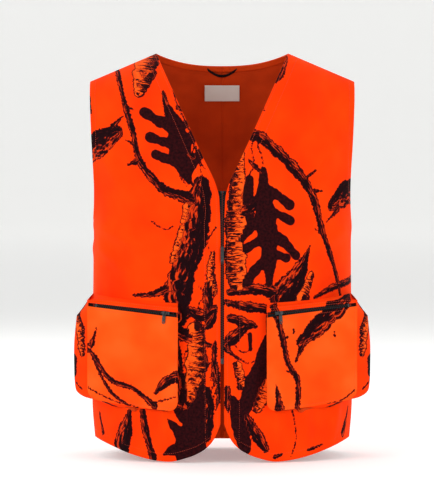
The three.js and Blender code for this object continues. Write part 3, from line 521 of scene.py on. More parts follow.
def ink_edge(tree, rough, bark, ink):
    """Distance from the print's edge: ragged by about 4 mm on bark, and nearly clean on leaves."""
    is_bark = add_node(tree, "ShaderNodeMapRange", SMOOTH, {"Value": bark, "To Min": 0.2, "To Max": 1.0}).outputs[0]
    centred = add_node(tree, "ShaderNodeMath", MINUS, {0: rough, 1: 0.5}).outputs[0]
    ragged = add_node(tree, "ShaderNodeMath", TIMES, {0: centred, 1: 7.0}).outputs[0]
    share = add_node(tree, "ShaderNodeMath", TIMES, {0: ragged, 1: is_bark}).outputs[0]
    return add_node(tree, "ShaderNodeMath", PLUS, {0: ink, 1: share}).outputs[0]


def printed_tricot(name, cloth_colour, deeper, brighter):
    """Brushed polyester tricot in fluorescent orange, transfer printed: saturated and matt, with a red bleed
    round the ink, streaked bark and nearly black leaves."""
    made, tree, shader = material(name, cloth_colour, 0.9, Specular_IOR_Level=0.07)
    place = add_node(tree, "ShaderNodeUVMap", {"uv_map": "cloth"}).outputs[0]
    ink = add_node(tree, "ShaderNodeAttribute", {"attribute_name": "ink"}).outputs["Fac"]
    bark = add_node(tree, "ShaderNodeAttribute", {"attribute_name": "bark"}).outputs["Fac"]
    along = add_node(tree, "ShaderNodeAttribute", {"attribute_name": "along_limb"}).outputs["Fac"]
    off = add_node(tree, "ShaderNodeAttribute", {"attribute_name": "across_limb"}).outputs["Fac"]

    # Cloth: slow drifts of tone over about 80 mm.
    drift = add_node(tree, "ShaderNodeTexNoise", None, {"Vector": place, "Scale": 12.0, "Detail": 2.0}).outputs["Fac"]
    stops = [(0.3, deeper), (0.5, cloth_colour), (0.72, brighter)]
    cloth = add_node(tree, "ShaderNodeValToRGB", {"stops": stops}, {"Fac": drift}).outputs["Color"]

    rough = add_node(tree, "ShaderNodeTexNoise", None, {"Vector": place, "Scale": 240.0, "Detail": 3.0}).outputs["Fac"]
    edge = ink_edge(tree, rough, bark, ink)
    stops = [(0.35, "#1A0408"), (0.7, "#380A0D")]
    leaf_tone = add_node(tree, "ShaderNodeValToRGB", {"stops": stops}, {"Fac": rough}).outputs["Color"]
    is_bark = add_node(tree, "ShaderNodeMapRange", SMOOTH, {"Value": bark, "From Max": 0.6}).outputs[0]
    tone = add_node(tree, "ShaderNodeMix", COLOURS,
                    {"Factor": is_bark, MIX_A: leaf_tone, MIX_B: bark_tone(tree, bark, along, off)}).outputs[MIX_OUT]
    # From inside a shape outwards: its tone, a dark outline, a red bleed, and then the cloth.
    for start, end, colour in ((-2.6, -1.0, linear("#22060A")), (-0.5, 0.35, linear("#C42406")), (0.1, 0.75, cloth)):
        turn = add_node(tree, "ShaderNodeMapRange", SMOOTH, {"Value": edge, "From Min": start, "From Max": end})
        tone = add_node(tree, "ShaderNodeMix", COLOURS,
                        {"Factor": turn.outputs[0], MIX_A: tone, MIX_B: colour}).outputs[MIX_OUT]
    tree.links.new(tone, shader.inputs["Base Color"])
    knit_bump(tree, shader, 1.5, 0.12)
    return made


def plain_cloth(name, colour, deeper, roughness, period, depth, drift_scale=16.0):
    """Plain cloth or tape, with a slow drift of tone and its weave as bump, with painted shade between the ribs."""
    made, tree, shader = material(name, colour, roughness, Specular_IOR_Level=0.12)
    place = add_node(tree, "ShaderNodeUVMap", {"uv_map": "cloth"}).outputs[0]
    drift = add_node(tree, "ShaderNodeTexNoise", None, {"Vector": place, "Scale": drift_scale, "Detail": 4.0})
    weave = knit_bump(tree, shader, period, depth)
    tone = add_node(tree, "ShaderNodeValToRGB", {"stops": [(0.32, deeper), (0.68, colour)]},
                    {"Fac": drift.outputs["Fac"]}).outputs["Color"]
    # Painted shade: the colour turns deeper where the weave's bump is low, between the ribs.
    between = add_node(tree, "ShaderNodeMapRange", SMOOTH,
                       {"Value": weave, "From Max": 0.5, "To Min": 0.35, "To Max": 0.0}).outputs[0]
    shaded = add_node(tree, "ShaderNodeMix", COLOURS, {"Factor": between, MIX_A: tone, MIX_B: linear(deeper)})
    tree.links.new(shaded.outputs[MIX_OUT], shader.inputs["Base Color"])
    return made


def moulded_nylon():
    """Black moulded nylon teeth: a soft gloss with a fine mould grain."""
    made, tree, shader = material("moulded_nylon_teeth", "#101012", 0.42)
    place = add_node(tree, "ShaderNodeTexCoord").outputs["Object"]
    grain = add_node(tree, "ShaderNodeTexNoise", None, {"Vector": place, "Scale": 900.0, "Detail": 2.0}).outputs["Fac"]
    gloss = add_node(tree, "ShaderNodeMapRange", None,
                     {"Value": grain, "From Min": 0.3, "From Max": 0.7, "To Min": 0.36, "To Max": 0.52})
    tree.links.new(gloss.outputs[0], shader.inputs["Roughness"])
    return made


def enamelled_metal():
    """Die-cast zinc in black baked enamel: a smooth dark gloss, rubbed brighter here and there."""
    made, tree, shader = material("black_enamelled_zinc", "#17171A", 0.32, Coat_Weight=0.4, Coat_Roughness=0.2)
    place = add_node(tree, "ShaderNodeTexCoord").outputs["Object"]
    worn = add_node(tree, "ShaderNodeTexNoise", None, {"Vector": place, "Scale": 420.0, "Detail": 5.0}).outputs["Fac"]
    tone = add_node(tree, "ShaderNodeValToRGB", {"stops": [(0.35, "#121214"), (0.62, "#1E1E22"), (0.78, "#4A4A4E")]},
                    {"Fac": worn})
    tree.links.new(tone.outputs["Color"], shader.inputs["Base Color"])
    gloss = add_node(tree, "ShaderNodeMapRange", None,
                     {"Value": worn, "From Min": 0.3, "From Max": 0.75, "To Min": 0.28, "To Max": 0.46})
    tree.links.new(gloss.outputs[0], shader.inputs["Roughness"])
    bump = add_node(tree, "ShaderNodeBump", None, {"Height": worn, "Distance": 0.00004, "Strength": 0.5})
    tree.links.new(bump.outputs[0], shader.inputs["Normal"])
    return made


def polyester_thread():
    """Spun polyester thread a shade deeper than the cloth's orange, with diagonal bands of painted shade between its
    plies.
    """
    made, tree, shader = material("polyester_thread", "#D93A08", 0.6)
    place = add_node(tree, "ShaderNodeTexCoord").outputs["Object"]
    painted_ply_shade = add_node(tree, "ShaderNodeTexWave", {"bands_direction": "DIAGONAL"}, {"Vector": place, "Scale": 500.0})
    # Painted shade: the colour is deeper in the bands that stand for the grooves between the plies.
    tone = add_node(tree, "ShaderNodeValToRGB", {"stops": [(0.0, "#B02C06"), (1.0, "#EE4A10")]},
                    {"Fac": painted_ply_shade.outputs["Fac"]})
    tree.links.new(tone.outputs["Color"], shader.inputs["Base Color"])
    return made


BLAZE = printed_tricot("blaze_printed_tricot", "#FF3C00", "#F83400", "#FF4402")
# The same printed tricot in lighter tones, for the pocket faces: painted light, where the faces tilt up towards the
# lamps.
POCKET_BLAZE_PAINTED_LIGHT = printed_tricot("pocket_printed_tricot_painted_light", "#FF5410", "#FF4608", "#FF6420")
# The unprinted back of the tricot, inside the vest: duller and a little browner.
LINING = plain_cloth("tricot_reverse", "#D8420E", "#B83408", 0.9, 1.5, 0.14)
# Plain-dyed facing cloth.
FACING_CLOTH = plain_cloth("plain_dyed_facing", "#E8480E", "#D03C08", 0.88, 1.2, 0.12)
# Black woven polyester tape: matt, with ribs a little coarser than real so that they show.
TAPE_WEAVE = plain_cloth("woven_black_tape", "#19191C", "#0C0C0E", 0.8, 1.0, 0.12, 60.0)
# White satin label ribbon.
LABEL_SATIN = plain_cloth("satin_label_ribbon", "#E9E6DF", "#DAD6CC", 0.45, 0.8, 0.04)
NYLON = moulded_nylon()
ENAMEL = enamelled_metal()
THREAD = polyester_thread()


def finish_metal():
    """The sliders, pulls, stops, pin and box keep their shapes and get their enamel."""
    names = ["zip_slider", "zip_pull", "zip_insertion_pin", "zip_retainer_box"]
    for side in ("left", "right"):
        names += [f"zip_top_stop_{side}"]
        names += [f"pocket_{piece}_{side}" for piece in ("zip_slider", "zip_pull", "zip_stop_inner", "zip_stop_outer")]
    for name in names:
        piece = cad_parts[name]
        for slot in piece.material_slots:
            slot.material = ENAMEL


# ---- Sheets as meshes --------------------------------------------------------------------------------


def mirrored(points, side):
    return points if side == "left" else points * np.array([-1.0, 1.0, 1.0])


def mesh_object(name, points, faces, materials, face_material):
    """A smooth-shaded mesh with its faces turned outwards, from points in millimetres."""
    points = np.asarray(points, float) * MM
    a, b, c, d = (points[faces[:, k]] for k in range(4))
    volume = np.sum(a * np.cross(b, c)) + np.sum(a * np.cross(c, d))
    if volume < 0:
        faces = faces[:, ::-1]
    mesh = bpy.data.meshes.new(name)
    mesh.from_pydata(points.tolist(), [], faces.tolist())
    for finish in materials:
        mesh.materials.append(finish)
    mesh.polygons.foreach_set("material_index", face_material.astype(np.int32))
    mesh.shade_smooth()
    mesh.update()
    made = bpy.data.objects.new(name, mesh)
    bpy.context.collection.objects.link(made)
    return made


def sheet(name, outer, inner, materials, fields, uv):
    """A closed sheet with a rounded edge between two grids of points. materials are the outer face's and the
    inner face's. fields are values for each grid point, kept as attributes, or None. uv is each point's place on the
    cloth in millimetres."""
    rows, columns = outer.shape[:2]
    count = rows * columns
    index = np.arange(count).reshape(rows, columns)
    a, b = index[:-1, :-1].ravel(), index[:-1, 1:].ravel()
    c, d = index[1:, 1:].ravel(), index[1:, :-1].ravel()
    front = np.stack([a, b, c, d], axis=1)
    back = front[:, ::-1] + count
    edge = np.concatenate([index[0, :-1], index[:-1, -1], index[-1, :0:-1], index[:0:-1, 0]])
    inside = np.concatenate([index[1, :-1], index[:-1, -2], index[-2, :0:-1], index[:0:-1, 1]])
    flat_outer, flat_inner = outer.reshape(-1, 3), inner.reshape(-1, 3)
    away = flat_outer[edge] - flat_outer[inside]
    away /= np.maximum(np.linalg.norm(away, axis=1, keepdims=True), 1e-9)
    thick = np.linalg.norm(flat_outer[edge] - flat_inner[edge], axis=1, keepdims=True)
    rim = (flat_outer[edge] + flat_inner[edge]) / 2 + away * thick * 0.32
    ring = 2 * count + np.arange(len(edge))
    after = np.roll(np.arange(len(edge)), -1)
    near = np.stack([edge[after], edge, ring, ring[after]], axis=1)
    far = np.stack([ring[after], ring, edge + count, edge[after] + count], axis=1)
    faces = np.concatenate([front, back, near, far])
    which = np.concatenate([np.zeros(len(front)), np.ones(len(back)), np.zeros(len(near)), np.ones(len(far))])
    points = np.concatenate([flat_outer, flat_inner, rim])
    made = mesh_object(name, points, faces, materials, which)
    source = np.concatenate([np.arange(count), np.arange(count), edge])
    for key, value in (fields or {}).items():
        layer = made.data.attributes.new(key, "FLOAT", "POINT")
        layer.data.foreach_set("value", np.asarray(value, float).ravel()[source].astype(np.float32))
    across, up = (np.asarray(k, float).ravel()[source] * MM for k in uv)
    corner = np.zeros(len(made.data.loops), np.int32)
    made.data.loops.foreach_get("vertex_index", corner)
    layer = made.data.uv_layers.new(name="cloth")
    layer.data.foreach_set("uv", np.stack([across[corner], up[corner]], axis=1).ravel().astype(np.float32))
    return made


def as_cloth(piece, nodes, on):
    """Hides the CAD nodes that a sheet stands for, and parents the sheet to the body that moves it, or bakes it in
    place when it spans two bodies.
    """
    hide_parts(*nodes)
    if isinstance(on, str):
        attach(piece, on)
    else:
        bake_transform(piece)


def bends(side):
    return ("vest", f"front_{side}")


# ---- The cloth of the fronts and the back ------------------------------------------------------------


def row_length(surface, v):
    """Length of the cloth across a panel at each height share."""
    shares = np.linspace(0, 1, 33)
    levels = np.linspace(0, 1, 49)
    u, w = np.meshgrid(shares, levels)
    grid = surface(u, w)
    lengths = np.linalg.norm(np.diff(grid, axis=1), axis=-1).sum(axis=1)
    return np.interp(v, levels, lengths)


def sewn_edges(base, from_edge, from_side, from_top, from_hem, is_back):
    """Gathers and grooves along the stitching at the hem, the armhole, and the front edge or the back neck."""
    height = base[..., 2]
    at_armhole = fade(ARMPIT_HEIGHT - 10, ARMPIT_HEIGHT + 20, height)
    gathers = puckers(from_edge + 3, from_hem - HEM_WIDTH, 8)
    gathers = gathers + puckers(height, from_side - ARMHOLE_FACING_WIDTH + 2, 7) * at_armhole
    stand = gathers * fade(0, 8, from_side) + groove(from_hem - HEM_WIDTH + STITCH_INSIDE)
    stand = stand + groove(from_side - ARMHOLE_FACING_WIDTH + STITCH_INSIDE) * at_armhole
    if is_back:
        beyond_neck = 100 * (base[..., 0] > NECK_HALF)
        return stand + groove(from_top - FRONT_FACING_WIDTH + STITCH_INSIDE + beyond_neck)
    stand = stand + puckers(height, from_edge - FRONT_FACING_WIDTH, 9) * fade(4, 10, from_edge)
    return stand + groove(from_edge - FRONT_FACING_WIDTH + STITCH_INSIDE) + groove(from_edge - STITCH_FROM_EDGE)


def cloth_face(u, v, side, is_back=False):
    """The outer face of a front, or of half of the back, at a grid of shares: its points on the wearer's left and
    their normals."""
    surface = back_surface if is_back else front_surface
    base = surface(u, v)
    length = row_length(surface, v)
    from_edge, from_side = u * length, (1 - u) * length
    from_top = np.linalg.norm(base - surface(u, np.ones_like(v)), axis=-1)
    from_hem = base[..., 2] - surface(u, np.zeros_like(v))[..., 2]
    # The back has no free edge at its middle.
    from_free_edge = np.full_like(u, 99.0) if is_back else from_edge
    stand = lie(base, side, is_back, from_free_edge) * fade(0, 22, from_side) * fade(0, 30, from_top)
    stand = stand + sewn_edges(base, from_edge, from_side, from_top, from_hem, is_back)
    # The hem bells out a little between its stitches.
    swing = HEM_SWING * wave(from_edge / 46, np.ones_like(u), 23 if is_back else 8)
    stand = stand + swing * (1 - fade(0, 90, from_hem)) * fade(0, 30, from_free_edge) * fade(0, 25, from_side)
    p = base + normals_of(base, outward_of(base)) * stand[..., None]
    return p, normals_of(p, outward_of(p))


def plan_length(x, z):
    """Length along the cloth from the middle to x, near enough for laying out the print."""
    share = np.clip(x / half_width(z), 0, 1)
    at = [(0, 0), (0.25, 56), (0.5, 113), (0.65, 151), (0.8, 198), (0.9, 239), (0.96, 276), (1, 330)]
    return smooth(at, share) * half_width(z) / ARMPIT_HALF


def print_place(p):
    """Where a point of the body shape lies in the print: across and up, along the cloth."""
    z = p[..., 2]
    up = smooth([(0, 0), (500, 500), (550, 550), (600, 602), (650, 660), (680, 703), (700, 768)], z)
    return plan_length(np.abs(p[..., 0]), z), up


def front_panel(side):
    u, v = np.meshgrid(np.linspace(0, 1, 132), np.linspace(0, 1, 290))
    p, n = cloth_face(u, v, side)
    across, up = print_place(p)
    fields = printed(FRONT_PRINT[side], across, up)
    outer, inner = mirrored(p, side), mirrored(p - n * CLOTH, side)
    made = sheet(f"front_cloth_{side}", outer, inner, (BLAZE, LINING), fields, (across, up))
    as_cloth(made, [f"front_chest_{side}", f"front_flap_{side}"], bends(side))


def behind_sides(points):
    """The same points of the back, none of them in front of the side seams."""
    return np.concatenate([points[..., :1], np.maximum(points[..., 1:2], 0.2), points[..., 2:]], axis=-1)


def back_half(side):
    """Half of the back. The halves meet at a seam down the middle."""
    u, v = np.meshgrid(np.linspace(0, 1, 132), np.linspace(0, 1, 270))
    p, n = cloth_face(u, v, side, is_back=True)
    p = behind_sides(p)
    across, up = print_place(p)
    fields = printed(BACK_PRINT[side], across, up)
    outer, inner = mirrored(p, side), mirrored(behind_sides(p - n * CLOTH), side)
    made = sheet(f"back_cloth_{side}", outer, inner, (BLAZE, LINING), fields, (across, up))
    as_cloth(made, ["back_panel"], "vest")


def facing_strip(name, shares, side, is_back, depth, nodes, on):
    """A strip of facing sewn inside the cloth, over a grid of shares."""
    p, n = cloth_face(*shares, side, is_back)
    near, far = p - n * depth, p - n * (depth + FACING)
    if is_back:
        near, far = behind_sides(near), behind_sides(far)
    outer = mirrored(near, side)
    made = sheet(name, outer, mirrored(far, side), (FACING_CLOTH, FACING_CLOTH), None, print_place(p))
    as_cloth(made, nodes, on)


def strip_shares(surface, width, start, end, rows, columns, at_side):
    """Shares of a strip of fixed width along the panel's front edge or its side, between two height shares."""
    v = np.linspace(start, end, rows)
    share = width / row_length(surface, v)
    steps = np.linspace(0, 1, columns)[None, :]
    u = 1 - share[:, None] * steps if at_side else share[:, None] * steps
    return u, np.broadcast_to(v[:, None], u.shape)


def height_share(surface, u, height):
    """The height share at which a column of a panel reaches a height."""
    levels = np.linspace(0, 1, 401)
    z = surface(np.full_like(levels, u), levels)[:, 2]
    return float(np.interp(height, z, levels))


def hem_shares(surface, width, rows, columns):
    u, v = np.meshgrid(np.linspace(0.004, 0.996, columns), np.linspace(0, 1, rows))
    levels = np.linspace(0, 0.2, 81)
    uu, vv = np.meshgrid(u[0], levels)
    grid = surface(uu, vv)
    rise = np.linalg.norm(np.diff(grid, axis=0), axis=-1).cumsum(axis=0)
    reach = np.array([np.interp(width, np.r_[0, rise[:, k]], levels) for k in range(columns)])
    return u, v * reach[None, :]


def linings(side):
    """The facings and hem bands inside one side of the vest."""
    behind = CLOTH + GAP
    behind_tape = behind + TAPE + GAP
    zip_low = height_share(front_surface, 0.0, ZIP_FACING_BOTTOM)
    zip_top = height_share(front_surface, 0.0, V_BOTTOM)
    above_zip = height_share(front_surface, 0.0, V_BOTTOM + FACING_ABOVE_ZIP)
    strip = strip_shares(front_surface, FRONT_FACING_WIDTH, zip_low, zip_top, 120, 9, False)
    facing_strip(f"zip_facing_cloth_{side}", strip, side, False, behind_tape, [f"zip_facing_{side}"], f"front_{side}")
    strip = strip_shares(front_surface, FRONT_FACING_WIDTH, above_zip, 0.998, 90, 9, False)
    facing_strip(f"neck_facing_front_{side}", strip, side, False, behind, ["neck_facing"], bends(side))
    neck_share = float(turn_of(NECK_HALF, NECK_HEIGHT) / outer_turn(np.array(float(NECK_HEIGHT)), BACK_ARMHOLE))
    u, v = np.meshgrid(np.linspace(0, neck_share * 0.985, 60), np.linspace(0, 1, 9))
    low = height_share(back_surface, 0.0, NECK_HEIGHT - BACK_NECK_DROP - BACK_NECK_FACING_WIDTH)
    facing_strip(f"neck_facing_back_{side}", (u, mix(low, 0.999, v)), side, True, behind, ["neck_facing"], "vest")
    for is_back, surface, place, on, band in (
        (False, front_surface, "front", bends(side), f"front_hem_band_{side}"),
        (True, back_surface, "back", "vest", "back_hem_band"),
    ):
        armpit = height_share(surface, 1.0, ARMPIT_HEIGHT)
        u, v = strip_shares(surface, ARMHOLE_FACING_WIDTH, armpit, 0.998, 100, 8, True)
        facing_strip(f"armhole_facing_{place}_{side}", (np.clip(u, 0, 0.9995), v), side, is_back, behind,
                     [f"armhole_facing_{side}"], on)
        strip = hem_shares(surface, HEM_WIDTH, 8, 120)
        facing_strip(f"{place}_hem_band_cloth_{side}", strip, side, is_back, behind, [band], on)


# ---- The print: branches, trunks, logs, twigs and oak leaves -------------------------------------------
# Each point of a shape is given by its distance across from the middle and its height, and each limb has the half
# widths that it passes through.
# SOLID shapes are leaves, DARK ones bark that is mostly ink, and PALE ones bark that is mostly cloth.

SOLID, DARK, PALE = 0.0, 1.0, 2.0


def limb(points, radii, kind=DARK):
    return ("limb", points, radii, kind)


def twig(*points):
    return ("limb", points, (1.3, 0.8), DARK)


def leaf(base, tip, half, lobes):
    return ("leaf", (base, tip), (half, lobes), SOLID)


FRONT_PRINT = {
    "right": [
        limb([(186, 680), (172, 629), (164, 599), (152, 561), (146, 528), (138, 508), (120, 484), (96, 463),
              (60, 451), (44, 446)], (4.5, 5, 5.5, 5.5, 6.5, 6, 7, 8.5, 9.5, 11)),
        limb([(165, 606), (150, 600)], (3.2, 0.6)),
        limb([(150, 541), (165, 549)], (3.2, 0.8)),
        limb([(143, 514), (160, 507)], (5, 2.5)),
        limb([(36, 474), (39, 432), (45, 402), (55, 364), (68, 322), (76, 284), (78, 246)],
             (15, 19, 20, 21, 21, 20, 17)),
        limb([(58, 436), (66, 392), (80, 344)], (9, 9, 10), PALE),
        limb([(76, 222), (50, 210), (18, 198)], (11, 9, 3)),
        limb([(46, 226), (43, 190), (45, 152), (50, 112)], (13, 16, 18, 12), PALE),
        limb([(75, 195), (73, 150), (70, 104)], (4, 7, 11)),
        limb([(38, 124), (40, 84), (50, 44), (58, 6)], (13, 20, 24, 20), SOLID),
        limb([(58, 74), (72, 84), (86, 97)], (12, 8, 1), SOLID),
        limb([(66, 44), (80, 58), (94, 74)], (14, 9, 1), SOLID),
        limb([(66, 22), (84, 20), (100, 12)], (12, 8, 2), SOLID),
        limb([(28, 120), (24, 84), (30, 44)], (8, 11, 9)),
        limb([(26, 304), (25, 282), (22, 256)], (4, 9, 6)),
        limb([(14, 250), (22, 236), (30, 230)], (5, 7, 4)),
        limb([(7, 166), (6, 130), (7, 96)], (2, 4, 3)),
        limb([(70, 146), (68, 120), (62, 98)], (6, 8, 7)),
        # A thin straight dark line just inside the pocket's inner edge: painted shadow of the pocket, not print.
        limb([(74.5, 264), (74.5, 180), (74.5, 98)], (1.6, 1.5, 1.6), SOLID),
        limb([(58, 250), (70, 240)], (4, 3)),
        twig((40, 300), (30, 286), (40, 268), (28, 250)),
        twig((50, 196), (64, 186), (60, 170)),
        leaf((56, 478), (92, 606), 46, 3),
        limb([(60, 486), (38, 458)], (3, 2.4)),
        limb([(92, 590), (101, 632)], (6, 3)),
        limb([(76, 604), (64, 602)], (4, 5)),
        limb([(58, 524), (46, 518)], (5, 7)),
        limb([(126, 708), (134, 668), (142, 630)], (22, 20, 9), PALE),
        limb([(122, 664), (134, 640)], (10, 7)),
        limb([(238, 520), (206, 546), (180, 562)], (24, 20, 12)),
        limb([(196, 562), (170, 590)], (8, 0.8)),
        limb([(152, 284), (120, 286), (92, 296)], (2, 5, 8)),
        twig((88, 656), (78, 612), (56, 566), (42, 520), (34, 486)),
        twig((62, 576), (49, 548), (52, 522), (64, 506), (72, 488), (60, 470)),
        twig((46, 540), (38, 512), (28, 498)),
        twig((84, 640), (70, 618)),
        limb([(157, 92), (164, 60), (173, 26)], (2, 12, 21)),
        limb([(137, 92), (131, 50), (118, 4)], (5, 6, 6)),
        limb([(16, 356), (20, 322), (12, 288)], (5, 7, 6), PALE),
        limb([(14, 262), (34, 250), (56, 262)], (7, 10, 5), DARK),
        twig((10, 402), (26, 372), (14, 344), (30, 318)),
        twig((8, 170), (20, 146), (10, 112)),
        limb([(12, 206), (14, 168), (10, 134)], (3, 5, 4)),
        limb([(300, 300), (236, 330)], (7, 3)),
        limb([(232, 640), (226, 596)], (2, 3)),
        limb([(212, 76), (206, 44)], (3, 6)),
        twig((120, 410), (96, 396), (84, 402)),
    ],
    "left": [
        limb([(42, 556), (60, 557), (78, 543), (103, 521), (125, 498), (145, 471), (158, 444), (168, 406),
              (178, 374), (190, 339), (200, 300), (204, 280)], (8, 9, 9, 9, 9, 9, 8, 7, 6, 5.5, 5, 5)),
        limb([(140, 482), (160, 497)], (4, 1.5)),
        limb([(152, 462), (172, 462)], (4, 0.8)),
        limb([(174, 386), (157, 398)], (3.5, 0.8)),
        leaf((70, 498), (82, 300), 44, 4),
        limb([(68, 492), (46, 514)], (4, 2.6)),
        limb([(30, 524), (26, 470), (24, 420), (22, 360), (26, 300)], (9, 13, 16, 17, 16), PALE),
        limb([(16, 442), (34, 428), (56, 440)], (8, 12, 10)),
        limb([(14, 402), (16, 350)], (6, 7)),
        limb([(46, 482), (42, 440), (50, 396)], (7, 10, 5), SOLID),
        limb([(232, 470), (206, 454), (186, 436)], (24, 19, 9)),
        limb([(198, 430), (178, 408)], (6, 0.8)),
        limb([(100, 280), (124, 310), (139, 340), (150, 368)], (22, 17, 9, 1)),
        limb([(138, 284), (152, 318)], (14, 6), PALE),
        limb([(106, 694), (99, 664), (92, 648)], (8, 8, 2)),
        twig((60, 628), (66, 610), (56, 594)),
        twig((66, 610), (72, 598)),
        twig((56, 560), (50, 535), (54, 508), (44, 486)),
        twig((60, 540), (69, 512), (66, 494)),
        twig((32, 524), (38, 500), (30, 478)),
        limb([(12, 290), (60, 295), (100, 288), (142, 286)], (6, 9, 10, 6)),
        limb([(158, 280), (192, 297), (224, 308)], (3, 6, 6)),
        limb([(8, 272), (40, 266), (72, 262)], (5, 8, 8)),
        limb([(14, 246), (34, 240), (56, 232)], (6, 8, 5)),
        limb([(4, 198), (20, 214), (38, 230)], (9, 12, 7)),
        limb([(47, 218), (48, 192)], (4, 3), SOLID),
        limb([(78, 212), (70, 176), (60, 146), (46, 112), (34, 84)], (7, 12, 15, 14, 8), SOLID),
        limb([(72, 132), (66, 112), (60, 92)], (12, 13, 10), PALE),
        limb([(18, 108), (28, 70), (40, 22)], (6, 13, 9), SOLID),
        limb([(42, 76), (58, 48), (74, 22)], (7, 9, 6)),
        # A thin straight dark line just inside the pocket's inner edge: painted shadow of the pocket, not print.
        limb([(75.5, 252), (75.5, 170), (75.5, 96)], (0.9, 1.0, 0.9), SOLID),
        twig((24, 196), (36, 186), (52, 196)),
        twig((30, 176), (44, 168), (56, 172)),
        limb([(10, 190), (28, 176)], (5, 2)),
        limb([(26, 166), (34, 130)], (7, 9), PALE),
        limb([(9, 126), (8, 92)], (5, 5)),
        limb([(218, 86), (209, 44)], (3, 8)),
        limb([(146, 18), (172, 26)], (2.2, 2.2)),
        limb([(90, 8), (101, 12)], (3, 3)),
        twig((120, 88), (126, 40), (118, 8)),
        twig((14, 330), (34, 318), (30, 302)),
    ],
}

BACK_PRINT = {
    "left": [
        limb([(20, 690), (34, 640), (52, 600), (60, 548), (92, 500), (140, 478), (196, 470)],
             (7, 8, 9, 9, 8, 7, 5)),
        limb([(56, 566), (78, 580)], (4, 1)),
        limb([(96, 498), (90, 470)], (4, 1)),
        leaf((104, 520), (160, 630), 42, 4),
        limb([(104, 522), (92, 502)], (3, 2.4)),
        limb([(34, 470), (30, 400), (42, 330), (38, 250)], (17, 20, 20, 18), PALE),
        limb([(54, 470), (58, 400), (66, 330)], (8, 9, 7)),
        leaf((120, 420), (104, 286), 44, 4),
        limb([(120, 418), (140, 446)], (3, 2)),
        limb([(250, 350), (200, 330), (166, 300)], (17, 14, 8)),
        limb([(10, 220), (60, 196), (120, 202), (190, 176), (260, 180)], (8, 9, 8, 7, 6)),
        limb([(118, 202), (126, 224)], (4, 1)),
        leaf((70, 176), (28, 62), 38, 4),
        limb([(170, 160), (160, 96), (176, 30)], (13, 15, 14), PALE),
        limb([(226, 120), (220, 60), (236, 10)], (6, 8, 12)),
        limb([(110, 120), (118, 60), (104, 10)], (5, 6, 6)),
        twig((150, 660), (170, 640), (164, 610), (186, 596)),
        twig((8, 560), (18, 520), (8, 480)),
        twig((150, 400), (176, 380), (184, 350)),
        twig((60, 150), (90, 140), (96, 110)),
    ],
    "right": [
        limb([(150, 668), (140, 620), (112, 580), (104, 528), (68, 490), (20, 476), (0, 470)],
             (6, 7, 8, 9, 9, 10, 9)),
        limb([(106, 548), (86, 560)], (4, 1)),
        limb([(70, 492), (78, 466)], (4, 1)),
        leaf((60, 528), (28, 648), 40, 4),
        limb([(170, 520), (176, 450), (160, 380), (166, 300)], (15, 18, 18, 15), PALE),
        limb([(148, 500), (146, 430), (132, 370)], (8, 9, 6)),
        leaf((84, 440), (60, 300), 44, 4),
        limb([(84, 438), (96, 460)], (3, 2)),
        limb([(300, 560), (236, 570), (206, 590)], (20, 15, 7)),
        limb([(0, 262), (50, 272), (110, 248), (180, 252), (280, 226)], (7, 8, 9, 8, 6)),
        limb([(112, 250), (104, 228)], (4, 1)),
        leaf((150, 220), (196, 98), 38, 4),
        limb([(54, 236), (44, 160), (58, 90), (50, 20)], (12, 15, 16, 13), PALE),
        limb([(20, 130), (30, 70), (16, 20)], (6, 9, 7)),
        limb([(120, 110), (112, 60), (124, 6)], (5, 6, 6)),
        limb([(250, 110), (240, 60)], (6, 10)),
        twig((196, 640), (180, 612), (190, 580)),
        twig((20, 420), (34, 396), (26, 366)),
        twig((100, 190), (112, 166), (104, 140)),
    ],
}

# On a pocket's face: distance from its edge near the zip, and height.
POCKET_PRINT = {
    "right": [
        limb([(176, 196), (150, 180), (128, 148), (108, 134), (80, 127), (60, 112), (42, 96)],
             (3, 3.5, 4.5, 4, 4.5, 4, 6)),
        limb([(160, 190), (140, 150), (118, 116), (88, 94)], (1.6, 2.6, 3.2, 2.6)),
        limb([(172, 158), (164, 202)], (1.4, 1)),
        limb([(148, 226), (157, 198)], (1, 5)),
        limb([(2, 146), (20, 138), (38, 118)], (9, 8, 2)),
        limb([(4, 112), (40, 102)], (1.2, 0.8)),
        twig((176, 130), (120, 104), (70, 92)),
    ],
    "left": [
        limb([(8, 276), (14, 262), (25, 222), (38, 166), (50, 148), (54, 128), (55, 92)],
             (4, 6, 5, 4.2, 4.6, 4, 5.5)),
        limb([(30, 212), (38, 214)], (3, 0.8)),
        limb([(47, 150), (34, 156)], (3, 0.8)),
        limb([(138, 272), (104, 240), (60, 204)], (15, 15, 10)),
        limb([(66, 204), (49, 170)], (7, 0.8)),
        limb([(16, 132), (20, 108), (24, 86)], (1, 5, 9)),
        limb([(122, 220), (123, 212)], (1.4, 1)),
        limb([(48, 226), (48, 218)], (1.8, 1.2)),
        twig((160, 120), (138, 104), (110, 96), (92, 90)),
    ],
}

# On a gusset: distance along it from the top near the zip, and distance back from the face.
GUSSET_PRINT = [
    limb([(10, 4), (60, 14), (120, 6)], (3, 4, 3)),
    limb([(180, 6), (250, 22), (300, 10)], (6, 7, 4)),
    limb([(330, 50), (380, 30), (430, 44), (500, 20)], (9, 12, 10, 8)),
    limb([(400, 8), (450, 16), (520, 60)], (4, 8, 9), PALE),
    twig((340, 10), (400, 60), (470, 66)),
]


def segments(points, values):
    """A smooth run of short segments through points, with a value at each."""
    places = np.array(points, float)
    steps = np.r_[0, np.cumsum(np.linalg.norm(np.diff(places, axis=0), axis=1))]
    values = np.interp(np.linspace(0, 1, len(places)), np.linspace(0, 1, len(values)), values)
    count = max(2, int(steps[-1] / 9) + 2) if len(places) > 2 else 2
    at = np.linspace(0, steps[-1], count)
    table = [smooth(list(zip(steps, column)), at) for column in (places[:, 0], places[:, 1], values)]
    return np.stack(table[:2], axis=1), table[2], at


